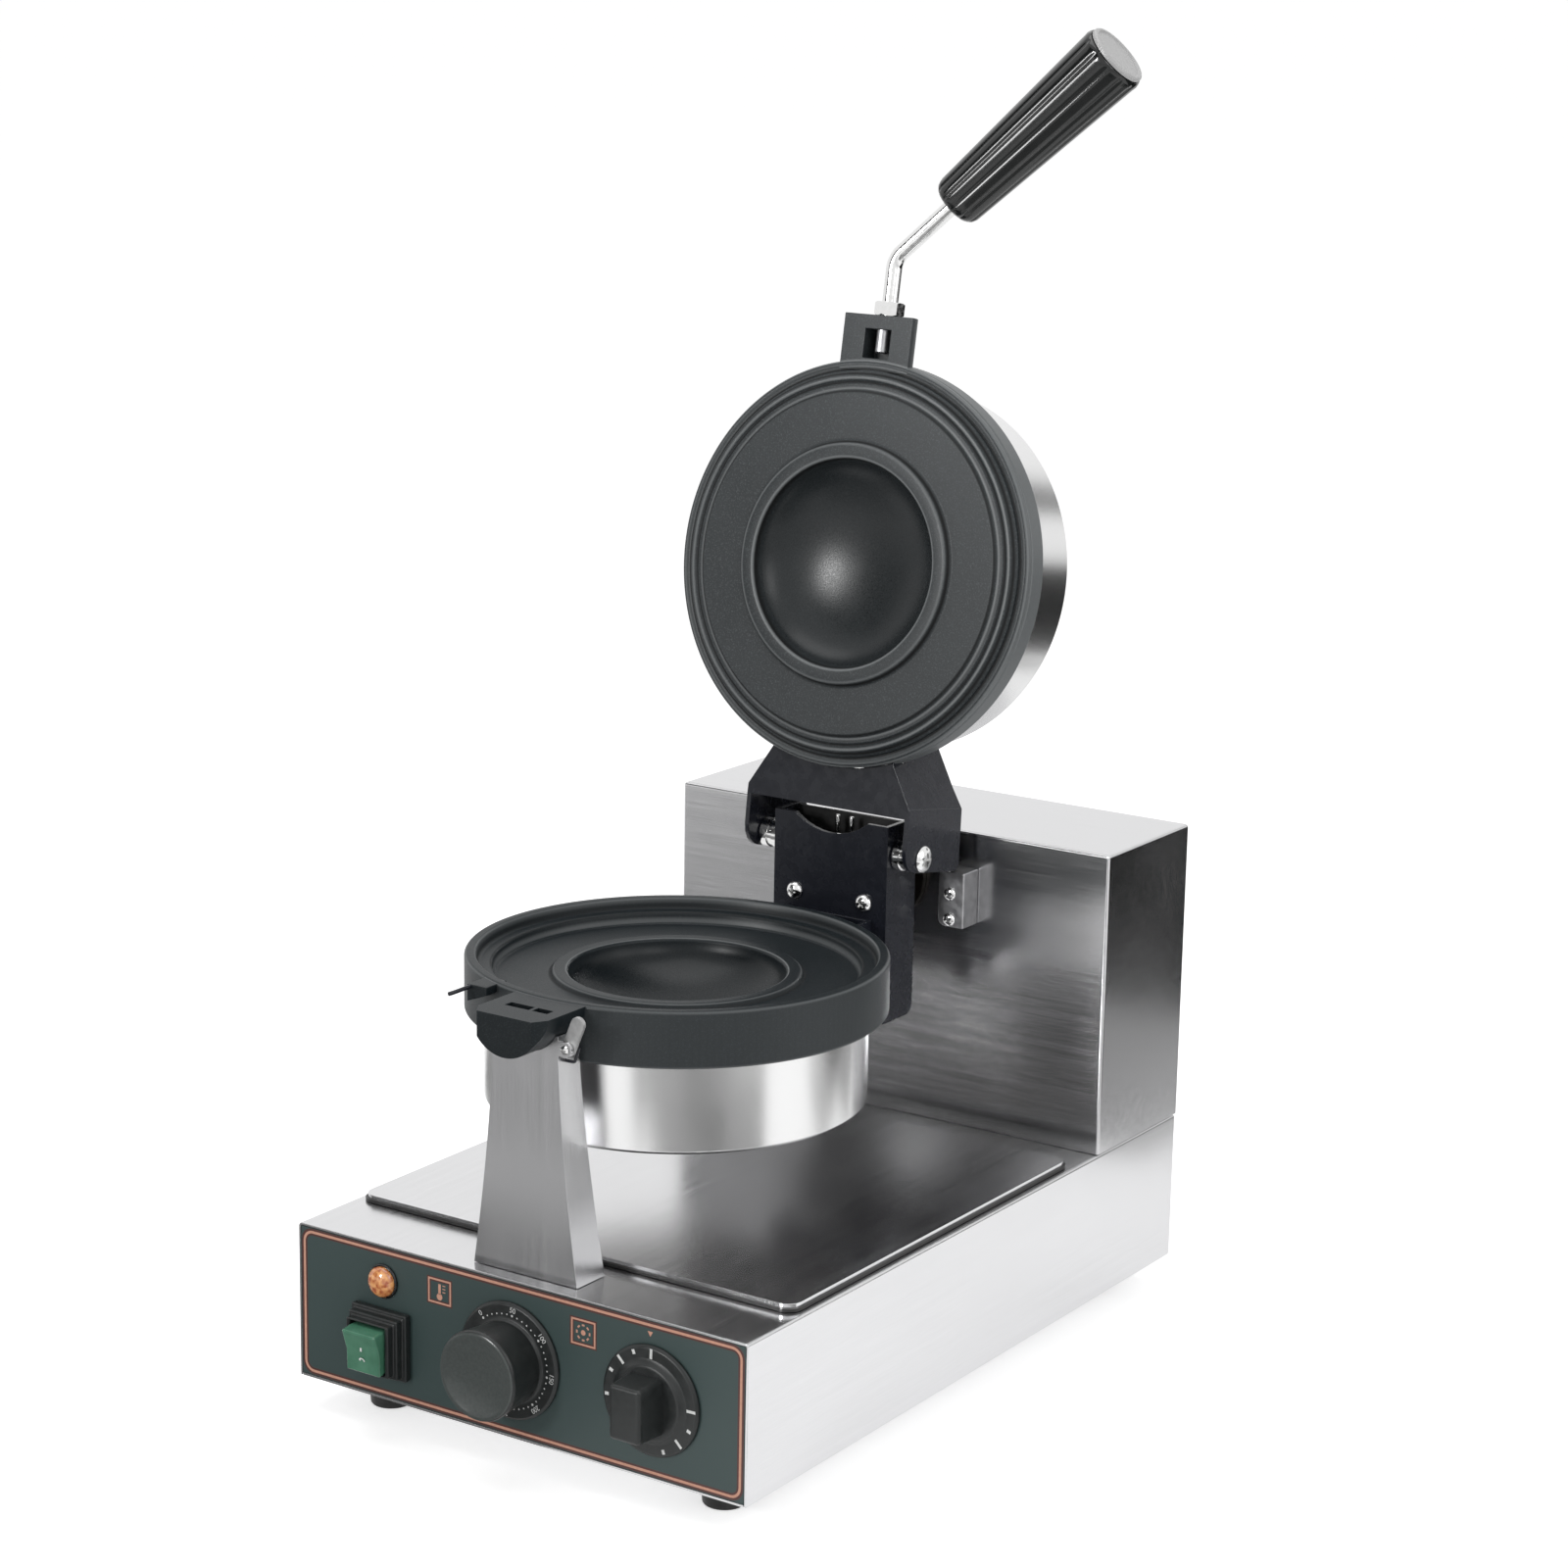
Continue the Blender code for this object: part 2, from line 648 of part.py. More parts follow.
def base():
    """The folded base, its floor with vent slots and the four feet."""
    half = BASE_WIDTH / 2
    shell = piece(
        "base_shell",
        open_box_mesh((-half, Y_FRONT, Z_BASE), (half, Y_BACK, Z_DECK), [(0, -1, 0), (0, 0, -1)]),
        STAINLESS,
    )
    folded(shell, FOLD_RADIUS, SHEET)
    wire_hole = rod_mesh(WIRE_HOLE_RADIUS, -OVERRUN, OVERRUN)
    cut(shell, tool(wire_hole, at=(GLAND_X, Y_BACK - TOWER_DEPTH / 2, Z_DECK)))
    gland_hole = rod_mesh(GLAND_THREAD_RADIUS + GAP, -OVERRUN, OVERRUN)
    cut(shell, tool(gland_hole, at=(GLAND_X, Y_BACK, Z_BASE + GLAND_RISE), turn=TO_BACK))

    inner = half - SHEET - GAP
    floor = piece(
        "base_floor",
        block_mesh((-inner, Y_FRONT, Z_BASE), (inner, Y_BACK - SHEET - GAP, Z_BASE + SHEET)),
        STAINLESS,
    )
    middle = (Y_FRONT + Y_BACK) / 2
    slots = []
    for index in range(FLOOR_SLOTS):
        x = (index - (FLOOR_SLOTS - 1) / 2) * FLOOR_SLOT_PITCH
        low = (x - FLOOR_SLOT_WIDTH / 2, middle - FLOOR_SLOT_LENGTH / 2, Z_BASE - OVERRUN)
        high = (x + FLOOR_SLOT_WIDTH / 2, middle + FLOOR_SLOT_LENGTH / 2, Z_BASE + SHEET + OVERRUN)
        slots.append((low, high))
    cut(floor, tool(blocks_mesh(slots)))

    foot = [
        (0, FOOT_HEIGHT - GAP),
        (FOOT_RADIUS, FOOT_HEIGHT - GAP),
        (FOOT_RADIUS - FOOT_TAPER, 0),
        (FOOT_RECESS_RADIUS, 0),
        (FOOT_RECESS_RADIUS, FOOT_RECESS_DEPTH),
        (0, FOOT_RECESS_DEPTH),
    ]
    x = half - FOOT_SIDE_INSET
    places = {
        "foot_front_left": (-x, Y_FRONT + FOOT_END_INSET),
        "foot_front_right": (x, Y_FRONT + FOOT_END_INSET),
        "foot_back_left": (-x, Y_BACK - FOOT_END_INSET),
        "foot_back_right": (x, Y_BACK - FOOT_END_INSET),
    }
    for name, place in places.items():
        turned(name, foot, RUBBER, at=(*place, 0))


def deck():
    """The raised drip plate between the stand and the tower: a shallow tray turned upside down."""
    half = BASE_WIDTH / 2 - DECK_SIDE_INSET
    front, back = Y_FRONT + DECK_FRONT, Y_FRONT + DECK_BACK

    def outline(inset):
        corner = DECK_CORNER - inset
        return rounded([
            (-half + inset, front + inset, corner),
            (half - inset, front + inset, corner),
            (half - inset, back - inset, corner),
            (-half + inset, back - inset, corner),
        ])

    plate = piece("top_deck", flat_mesh(outline(0), Z_DECK + GAP, Z_DECK + DECK_RISE), STAINLESS)
    cut(plate, tool(flat_mesh(outline(SHEET), Z_DECK - OVERRUN, Z_DECK + DECK_RISE - SHEET)))


def tower():
    """The folded tower, its back cover with vent slots, and the block that stops the open lid."""
    half = BASE_WIDTH / 2
    shell = piece(
        "tower_shell",
        open_box_mesh((-half, Y_TOWER, Z_DECK + GAP), (half, Y_BACK, Z_TOWER), [(0, 1, 0), (0, 0, -1)]),
        STAINLESS,
    )
    folded(shell, FOLD_RADIUS, SHEET)
    sleeve = SHAFT_RADIUS + RUN_GAP + BUSHING_WALL
    shaft_hole = rod_mesh(sleeve + GAP, -OVERRUN, OVERRUN, MEDIUM_ROUND)
    cut(shell, tool(shaft_hole, at=(0, Y_TOWER, Z_AXIS), turn=TO_BACK))

    inner = half - SHEET - GAP
    low = (-inner, Y_BACK - SHEET, Z_DECK + GAP)
    high = (inner, Y_BACK, Z_TOWER - SHEET - GAP)
    cover = piece("tower_back", block_mesh(low, high), STAINLESS)
    slots = []
    for side in (-1, 1):
        for index in range(BACK_SLOTS):
            x = side * BASE_WIDTH / 4
            z = Z_DECK + TOWER_RISE / 2 + (index - (BACK_SLOTS - 1) / 2) * BACK_SLOT_PITCH
            start = (x - BACK_SLOT_LENGTH / 2, Y_BACK - OVERRUN, z - BACK_SLOT_WIDTH / 2)
            end = (x + BACK_SLOT_LENGTH / 2, Y_BACK + OVERRUN, z + BACK_SLOT_WIDTH / 2)
            slots.append((start, end))
    cut(cover, tool(blocks_mesh(slots)))

    top = Z_AXIS + stop_rise() - GAP
    right = STOP_LEFT + STOP_WIDTH
    outline = rounded([
        (STOP_LEFT, top - STOP_HEIGHT, STOP_CORNER),
        (right, top - STOP_HEIGHT, 0),
        (right, top, 0),
        (STOP_LEFT, top, 0),
    ])
    piece("stop_block", flat_mesh(outline, GAP, STOP_DEPTH), STEEL, at=(0, Y_TOWER, 0), turn=TO_FRONT)


def stop_rise():
    """Height above the shaft's axis of the open lid's lowest ear corner, which the stop block carries."""
    reach = BRACKET_BACK_REACH - BRACKET_TOP_CORNER - HINGE_REACH
    rise = BRACKET_TOP_RISE - BRACKET_TOP_CORNER - HINGE_RISE
    return HINGE_RISE - reach * math.sin(LID_OPEN) + rise * math.cos(LID_OPEN) - BRACKET_TOP_CORNER


def panel():
    """The control panel plate with its holes."""
    half = BASE_WIDTH / 2 - SHEET - GAP
    low = (-half, Y_FRONT, Z_BASE + SHEET + GAP)
    high = (half, Y_FRONT + PANEL_THICKNESS, Z_DECK - SHEET - GAP)
    plate = piece("control_panel", block_mesh(low, high), PANEL_GREEN)
    holes = [
        (LAMP_X, LAMP_RISE, LAMP_SLEEVE_RADIUS + GAP),
        (THERMO_X, THERMO_RISE, SPINDLE_RADIUS + RUN_GAP),
        (TIMER_X, TIMER_RISE, SPINDLE_RADIUS + RUN_GAP),
    ]
    for x, rise, radius in holes:
        cut(plate, tool(rod_mesh(radius, -OVERRUN, OVERRUN), at=(x, Y_FRONT, Z_BASE + rise), turn=TO_BACK))
    width, height = SWITCH_BODY_WIDTH / 2 + GAP, SWITCH_BODY_HEIGHT / 2 + GAP
    opening = block_mesh((-width, -OVERRUN, -height), (width, OVERRUN, height))
    cut(plate, tool(opening, at=(SWITCH_X, Y_FRONT, Z_BASE + SWITCH_RISE)))


def lamp():
    """The pilot lamp: a ring with a sleeve through the panel, and a domed lens in it."""
    at = (LAMP_X, Y_FRONT, Z_BASE + LAMP_RISE)
    bore = LAMP_SLEEVE_RADIUS - LAMP_SLEEVE_WALL
    seat = LENS_RADIUS + GAP
    bezel = [
        (seat, LAMP_BEZEL_REACH),
        (LAMP_BEZEL_RADIUS - LAMP_SLEEVE_WALL, LAMP_BEZEL_REACH),
        (LAMP_BEZEL_RADIUS, LAMP_BEZEL_REACH / 2),
        (LAMP_BEZEL_RADIUS, GAP),
        (LAMP_SLEEVE_RADIUS, GAP),
        (LAMP_SLEEVE_RADIUS, -LAMP_SLEEVE_DEPTH),
        (bore, -LAMP_SLEEVE_DEPTH),
        (bore, LAMP_BEZEL_REACH / 2),
        (seat, LAMP_BEZEL_REACH / 2),
    ]
    turned("lamp_bezel", bezel, BLACK_PLASTIC, at=at, turn=TO_FRONT)
    foot = LAMP_BEZEL_REACH / 2 + GAP
    dome = arc((0, foot), LENS_RADIUS, math.pi / 2, 0, 5, (LENS_REACH - foot) / LENS_RADIUS)
    dome[0] = (0, LENS_REACH)
    plug = bore - GAP
    lens = dome + [(plug, foot), (plug, -PANEL_THICKNESS), (0, -PANEL_THICKNESS)]
    turned("lamp_lens", lens, LAMP_ORANGE, at=at, turn=TO_FRONT)


def switch():
    """The main switch: a stepped square frame, the body behind the panel and the tipped rocker."""
    at = (SWITCH_X, Y_FRONT, Z_BASE + SWITCH_RISE)
    half_width = ROCKER_WIDTH / 2 + ROCKER_CLEAR / 2
    half_height = ROCKER_HEIGHT / 2 + ROCKER_CLEAR
    reach = SWITCH_STEPS * SWITCH_STEP_REACH
    frame = None
    for index in range(SWITCH_STEPS):
        half = SWITCH_SIDE / 2 - index * SWITCH_STEP_INSET
        low = (-half, -(index + 1) * SWITCH_STEP_REACH, -half)
        high = (half, -GAP if index == 0 else -(index - SWITCH_LAP_SHARE) * SWITCH_STEP_REACH, half)
        if frame is None:
            frame = piece("switch_bezel", block_mesh(low, high), BLACK_PLASTIC, at=at)
        else:
            join(frame, tool(block_mesh(low, high), at=at))
    opening = block_mesh((-half_width, -reach - OVERRUN, -half_height), (half_width, OVERRUN, half_height))
    cut(frame, tool(opening, at=at))
    soften(frame, SWITCH_EDGE, 1)

    width, height = SWITCH_BODY_WIDTH / 2, SWITCH_BODY_HEIGHT / 2
    body = block_mesh((-width, 0, -height), (width, SWITCH_BODY_DEPTH, height))
    body = piece("switch_body", body, BLACK_PLASTIC, at=at)
    pocket = block_mesh((-half_width, -OVERRUN, -half_height), (half_width, SWITCH_POCKET_DEPTH, half_height))
    cut(body, tool(pocket, at=at))

    pivot_reach = ROCKER_REACH - ROCKER_SIDE - ROCKER_DISH
    half = ROCKER_HEIGHT / 2
    back = half * ROCKER_BACK_SHARE
    front = ROCKER_REACH - pivot_reach
    outline = [(half, front), (half, front - ROCKER_SIDE), (back, -pivot_reach), (-back, -pivot_reach)]
    outline += [(-half, front - ROCKER_SIDE), (-half, front), (0, front - ROCKER_DISH)]
    outline = [(-reach_out, height_up) for height_up, reach_out in outline]
    pivot = joint_empty("rocker_tilt", (SWITCH_X, Y_FRONT - pivot_reach, Z_BASE + SWITCH_RISE))
    rocker = flat_mesh(outline, -ROCKER_WIDTH / 2, ROCKER_WIDTH / 2)
    rocker.transform(Matrix(((0, 0, 1, 0), (1, 0, 0, 0), (0, 1, 0, 0), (0, 0, 0, 1))))
    rocker = piece("switch_rocker", rocker, ROCKER_GREEN, pivot, turn=(ROCKER_TILT, 0, 0))
    soften(rocker, SWITCH_EDGE, 1)


def knob_profile(skirt_radius, knob_radius, reach, draft):
    """A knob with its skirt, and a spindle that reaches into the control behind the panel."""
    return [
        (0, reach),
        (knob_radius - draft - KNOB_EDGE, reach),
        (knob_radius - draft, reach - KNOB_EDGE),
        (knob_radius, SKIRT_THICKNESS + KNOB_EDGE),
        (knob_radius + KNOB_EDGE, SKIRT_THICKNESS),
        (skirt_radius - KNOB_EDGE, SKIRT_THICKNESS),
        (skirt_radius, SKIRT_THICKNESS / 2),
        (skirt_radius, GAP),
        (SPINDLE_RADIUS, GAP),
        (SPINDLE_RADIUS, -PANEL_THICKNESS - SPINDLE_SEAT),
        (0, -PANEL_THICKNESS - SPINDLE_SEAT),
    ]


def controls():
    """The thermostat and the timer: each a dial on a spindle, and the control body behind the panel."""
    for name, x, rise in (("thermostat", THERMO_X, THERMO_RISE), ("timer", TIMER_X, TIMER_RISE)):
        half = CONTROL_BODY_SIDE / 2
        front = PANEL_THICKNESS + GAP
        body = block_mesh((-half, front, -half), (half, front + CONTROL_BODY_DEPTH, half))
        body = piece(f"{name}_body", body, BAKELITE, at=(x, Y_FRONT, Z_BASE + rise))
        seat = rod_mesh(SPINDLE_RADIUS + RUN_GAP, -OVERRUN, PANEL_THICKNESS + SPINDLE_SEAT + RUN_GAP)
        cut(body, tool(seat, at=(x, Y_FRONT, Z_BASE + rise), turn=TO_BACK))
    thermo = joint_empty("thermostat_turn", (THERMO_X, Y_FRONT, Z_BASE + THERMO_RISE))
    profile = knob_profile(THERMO_SKIRT_RADIUS, THERMO_KNOB_RADIUS, THERMO_REACH, -THERMO_FLARE)
    turned("thermostat_dial", profile, BLACK_PLASTIC, thermo, turn=TO_FRONT, segments=KNOB_ROUND)

    timer = joint_empty("timer_turn", (TIMER_X, Y_FRONT, Z_BASE + TIMER_RISE))
    profile = knob_profile(TIMER_SKIRT_RADIUS, TIMER_HUB_RADIUS, TIMER_HUB_REACH, TIMER_HUB_DRAFT)
    dial = turned("timer_dial", profile, BLACK_PLASTIC, timer, turn=TO_FRONT, segments=KNOB_ROUND)
    half, height = TIMER_GRIP_WIDTH / 2, TIMER_GRIP_HEIGHT / 2
    bar = block_mesh((-half, -height, SKIRT_THICKNESS), (half, height, TIMER_REACH))
    bar = tool(bar, timer, turn=TO_FRONT)
    soften(bar, TIMER_GRIP_EDGE)
    join(dial, bar)


def wiring():
    """What the mains lead meets: the gland in the back wall and the terminal block behind it."""
    bore, thread = GLAND_BORE_RADIUS, GLAND_THREAD_RADIUS
    profile = [
        (bore, GLAND_REACH),
        ((bore + GLAND_RADIUS) / 2, GLAND_REACH),
        (GLAND_RADIUS, GLAND_REACH - (GLAND_RADIUS - bore) / 2),
        (GLAND_RADIUS, GAP),
        (thread, GAP),
        (thread, -GLAND_TAIL),
        (bore, -GLAND_TAIL),
    ]
    at = (GLAND_X, Y_BACK, Z_BASE + GLAND_RISE)
    gland = turned("cable_gland", profile, BLACK_PLASTIC, at=at, turn=TO_BACK)
    nut = rod_mesh(GLAND_NUT_RADIUS, GAP, GLAND_NUT_LENGTH, 6)
    nut_tool = tool(nut, at=at, turn=TO_BACK)
    cut(nut_tool, tool(rod_mesh(thread, -OVERRUN, GLAND_NUT_LENGTH + OVERRUN), at=at, turn=TO_BACK))
    join(gland, nut_tool)

    low_z = Z_BASE + SHEET + GAP
    back = Y_BACK - TERMINAL_BACK
    low = (GLAND_X - TERMINAL_WIDTH / 2, back - TERMINAL_DEPTH, low_z)
    high = (GLAND_X + TERMINAL_WIDTH / 2, back, low_z + TERMINAL_HEIGHT)
    terminal = piece("terminal_block", block_mesh(low, high), NYLON)
    ways = []
    for index in range(TERMINAL_WAYS):
        x = GLAND_X + (index - (TERMINAL_WAYS - 1) / 2) * TERMINAL_WIDTH / TERMINAL_WAYS
        half = TERMINAL_WAY_WIDTH / 2
        deep = high[2] - TERMINAL_WAY_DEPTH
        ways.append(((x - half, low[1] - OVERRUN, deep), (x + half, back + OVERRUN, high[2] + OVERRUN)))
    cut(terminal, tool(blocks_mesh(ways)))


def stand_half(z):
    """Half the stand's width at a height: it flares towards the foot."""
    down = (Z_AXIS - STAND_TOP_DROP - z) / (AXIS_RISE - STAND_TOP_DROP - GAP)
    return STAND_TOP_HALF + (STAND_FOOT_HALF - STAND_TOP_HALF) * max(down, 0) ** STAND_FLARE_SHARE


def stand_outline(inset):
    """One side of the stand's front, from the top down to the flared foot, drawn in by an inset."""
    low, high = Z_DECK + GAP, Z_AXIS - STAND_TOP_DROP
    heights = [high - (high - low) * step / STAND_FLARE_STEPS for step in range(STAND_FLARE_STEPS + 1)]
    return [(stand_half(z) - inset, z) for z in heights]


def mirrored(side):
    return side + [(-x, z) for x, z in reversed(side)]


def stand():
    """The folded stand: a tapered web with side flanges, and the cradle for the journals at its top."""
    front = Y_FRONT + STAND_FRONT
    outer = mirrored(stand_outline(0))
    stand_piece = piece(
        "front_stand", flat_mesh(outer, -STAND_FOOT_DEPTH, 0), STAINLESS, at=(0, front, 0), turn=TO_FRONT
    )
    inner_side = stand_outline(STAND_SHEET)
    inner_side[0] = (inner_side[0][0], inner_side[0][1] + OVERRUN)
    inner_side[-1] = (inner_side[-1][0], inner_side[-1][1] + STAND_FOOT_FLANGE)
    inner = flat_mesh(mirrored(inner_side), -STAND_FOOT_DEPTH - OVERRUN, -STAND_SHEET)
    cut(stand_piece, tool(inner, at=(0, front, 0), turn=TO_FRONT))

    low, high = Z_DECK, Z_AXIS
    slope = [
        (STAND_FOOT_DEPTH, low),
        (STAND_TOP_DEPTH, high),
        (STAND_FOOT_DEPTH + OVERRUN, high),
        (STAND_FOOT_DEPTH + OVERRUN, low),
    ]
    half = STAND_FOOT_HALF + OVERRUN
    cut(stand_piece, tool(flat_mesh(slope, -half, half), at=(0, front, 0), turn=TO_SIDE))

    pivot_z = Z_AXIS - CATCH_PIVOT_DROP
    lug_round = CATCH_LUG_RADIUS * CATCH_LUG_ROUND_SHARE
    lug = rounded([
        (STAND_TOP_HALF - STAND_SHEET, pivot_z - CATCH_LUG_RADIUS, 0),
        (CATCH_PIVOT_X + CATCH_LUG_RADIUS, pivot_z - CATCH_LUG_RADIUS, lug_round),
        (CATCH_PIVOT_X + CATCH_LUG_RADIUS, pivot_z + CATCH_LUG_RADIUS, lug_round),
        (STAND_TOP_HALF - STAND_SHEET, pivot_z + CATCH_LUG_RADIUS, 0),
    ])
    join(stand_piece, tool(flat_mesh(lug, -STAND_SHEET, 0), at=(0, front, 0), turn=TO_FRONT))
    hole = rod_mesh(RIVET_RADIUS + GAP, -OVERRUN, OVERRUN, TINY_ROUND)
    cut(stand_piece, tool(hole, at=(CATCH_PIVOT_X, front, pivot_z), turn=TO_BACK))
    cradle = rod_mesh(JOURNAL_RADIUS + GAP, -OVERRUN, STAND_FOOT_DEPTH + OVERRUN, KNOB_ROUND)
    cut(stand_piece, tool(cradle, at=(0, front, Z_AXIS), turn=TO_BACK))


def catch():
    """The small catch on the stand, with its rivet and wire spring."""
    front = Y_FRONT + STAND_FRONT
    pivot_z = Z_AXIS - CATCH_PIVOT_DROP
    swing = joint_empty("catch_swing", (CATCH_PIVOT_X, front, pivot_z))
    half = CATCH_HALF_WIDTH
    end_round = half * CATCH_ROUND_SHARE
    outline = rounded([
        (-half, -half, end_round),
        (half, -half, end_round),
        (half, CATCH_LENGTH, end_round),
        (-half, CATCH_LENGTH, end_round),
    ])
    lean = Matrix.Rotation(-CATCH_LEAN, 4, "Z")
    near = -STAND_SHEET - GAP
    tongue = flat_mesh(outline, near - CATCH_THICKNESS, near)
    tongue.transform(lean)
    tongue = piece("head_catch", tongue, STEEL, swing, turn=TO_FRONT)
    cut(tongue, tool(rod_mesh(RIVET_RADIUS + GAP, -OVERRUN, OVERRUN * 2, TINY_ROUND), swing, turn=TO_BACK))

    head, shank = RIVET_HEAD_RADIUS, RIVET_RADIUS
    back = near - CATCH_THICKNESS - GAP
    rivet = [
        (0, GAP + RIVET_HEAD_THICKNESS),
        (head, GAP + RIVET_HEAD_THICKNESS / 2),
        (head, GAP),
        (shank, GAP),
        (shank, back),
        (head, back),
        (head, back - RIVET_HEAD_THICKNESS),
        (0, back - RIVET_HEAD_THICKNESS),
    ]
    at = (CATCH_PIVOT_X, front, pivot_z)
    turned("catch_rivet", rivet, STEEL, at=at, turn=TO_FRONT, segments=TINY_ROUND)

    y = front + SPRING_BACK
    z = pivot_z - SPRING_DROP
    x = stand_half(z - SPRING_WIRE_RADIUS) + GAP
    flat, turned_up = SPRING_REACH * SPRING_FLAT_SHARE, SPRING_REACH * SPRING_TURN_SHARE
    route = [(x, y, z), (x + flat, y, z), (x + SPRING_REACH, y, z + turned_up)]
    route.append((x + SPRING_REACH + SPRING_RISE * SPRING_LEAN_SHARE, y, z + SPRING_RISE))
    piece("catch_spring", wire_mesh(route, SPRING_WIRE_RADIUS, 2), BLACK_PAINT)


def pocket_arc(radius, level, height, steps):
    """Half of an elliptical dome, from the axis out to a radius at a level."""
    points = arc((0, level), radius, math.pi / 2, 0, steps, height / radius)
    points[0] = (0, level + height)
    return points


def upper_profile():
    """Section of the upper casting: the domed back, the band, the flange, the rings and the pocket."""
    band = MOULD_RADIUS - BAND_WALL
    dome = UPPER_POCKET + CAST_WALL - BACK_PLATE
    back = pocket_arc(POCKET_RADIUS + CAST_WALL, BACK_PLATE, dome, POCKET_BACK_STEPS)
    outside = [
        (band, BACK_PLATE),
        (band, UPPER_BAND),
        (MOULD_RADIUS - BAND_EDGE, UPPER_BAND),
        (MOULD_RADIUS, UPPER_BAND - BAND_EDGE),
        (MOULD_RADIUS, BEAD_HEIGHT + BEAD_DEPTH),
        (MOULD_RADIUS - BEAD_DEPTH, BEAD_HEIGHT),
        (MOULD_RADIUS, BEAD_HEIGHT - BEAD_DEPTH),
        (MOULD_RADIUS, SEAT_GAP + BAND_EDGE),
        (MOULD_RADIUS - BAND_EDGE, SEAT_GAP),
    ]
    face = [
        (MOULD_RADIUS - FLANGE_WIDTH, SEAT_GAP),
        (MOULD_RADIUS - FLANGE_WIDTH - GROOVE_DEPTH / 2, GROOVE_DEPTH),
        (STEP_RADIUS + GROOVE_DEPTH / 2, GROOVE_DEPTH),
        (STEP_RADIUS, LAND + STEP_DROP + GROOVE_DEPTH / 2),
        (STEP_RADIUS - GROOVE_DEPTH / 2, LAND + STEP_DROP),
        (LAND_RADIUS + GROOVE_DEPTH, LAND + STEP_DROP),
        (LAND_RADIUS, LAND),
        (RIDGE_RADIUS, LAND),
        (RIDGE_RADIUS - RIDGE_SLOPE, RIDGE + RIDGE_RISE / 4),
        (RIDGE_RADIUS - 2 * RIDGE_SLOPE, RIDGE),
        (POCKET_RADIUS + RIDGE_SLOPE, RIDGE),
    ]
    lip = RIDGE_RISE / 3
    pocket = pocket_arc(POCKET_RADIUS, RIDGE + lip, POCKET_DEPTH - lip, POCKET_STEPS)
    return back + outside + face + pocket[::-1]


def lower_profile():
    """Section of the lower casting: the pocket, its ridge, the basin with its shelf, the rim and the band."""
    band = MOULD_RADIUS - BAND_WALL
    rim = MOULD_RADIUS - LOWER_RIM
    lip = RIDGE_RISE / 3
    pocket = pocket_arc(POCKET_RADIUS, BASIN_RIDGE - lip, lip - POCKET_DEPTH, POCKET_STEPS)
    face = [
        (POCKET_RADIUS + RIDGE_SLOPE, BASIN_RIDGE),
        (RIDGE_RADIUS - 2 * RIDGE_SLOPE, BASIN_RIDGE),
        (RIDGE_RADIUS - RIDGE_SLOPE, BASIN_RIDGE - RIDGE_RISE / 4),
        (RIDGE_RADIUS, -BASIN_DEPTH),
        (BASIN_SHELF_RADIUS - BASIN_STEP_SLOPE, -BASIN_DEPTH),
        (BASIN_SHELF_RADIUS, -BASIN_SHELF_DEPTH),
        (rim - BASIN_SLOPE, -BASIN_SHELF_DEPTH),
        (rim - BAND_EDGE / 2, -BAND_EDGE),
        (rim, 0),
    ]
    outside = [
        (MOULD_RADIUS - BAND_EDGE, 0),
        (MOULD_RADIUS, -BAND_EDGE),
        (MOULD_RADIUS, BAND_EDGE - LOWER_BAND),
        (MOULD_RADIUS - BAND_EDGE, -LOWER_BAND),
        (band, -LOWER_BAND),
        (band, BASIN_UNDERSIDE),
    ]
    underside = LOWER_POCKET - CAST_WALL - BASIN_UNDERSIDE
    back = pocket_arc(POCKET_RADIUS + CAST_WALL, BASIN_UNDERSIDE, underside, POCKET_BACK_STEPS)
    return pocket + face + outside + back[::-1]


def tab_mesh(front, side):
    """A half-round journal tab, under the parting plane on side -1 and over it on side 1."""
    back = MOULD_RADIUS - BAND_WALL / 2
    start, end = (-math.pi, 0) if side < 0 else (0, math.pi)
    level = side * (TAB_RELIEF if side < 0 else TAB_RELIEF + SEAT_GAP)
    bow = arc((0, 0), JOURNAL_RADIUS, start, end, SMALL_ROUND)
    half_round = [(x, z) for x, z in bow if abs(z) > abs(level)]
    width = math.sqrt(JOURNAL_RADIUS**2 - level**2)
    ends = [(-width, level), (width, level)]
    outline = [ends[0], *half_round, ends[1]] if side < 0 else [ends[1], *half_round, ends[0]]
    return flat_mesh(outline, back, front)


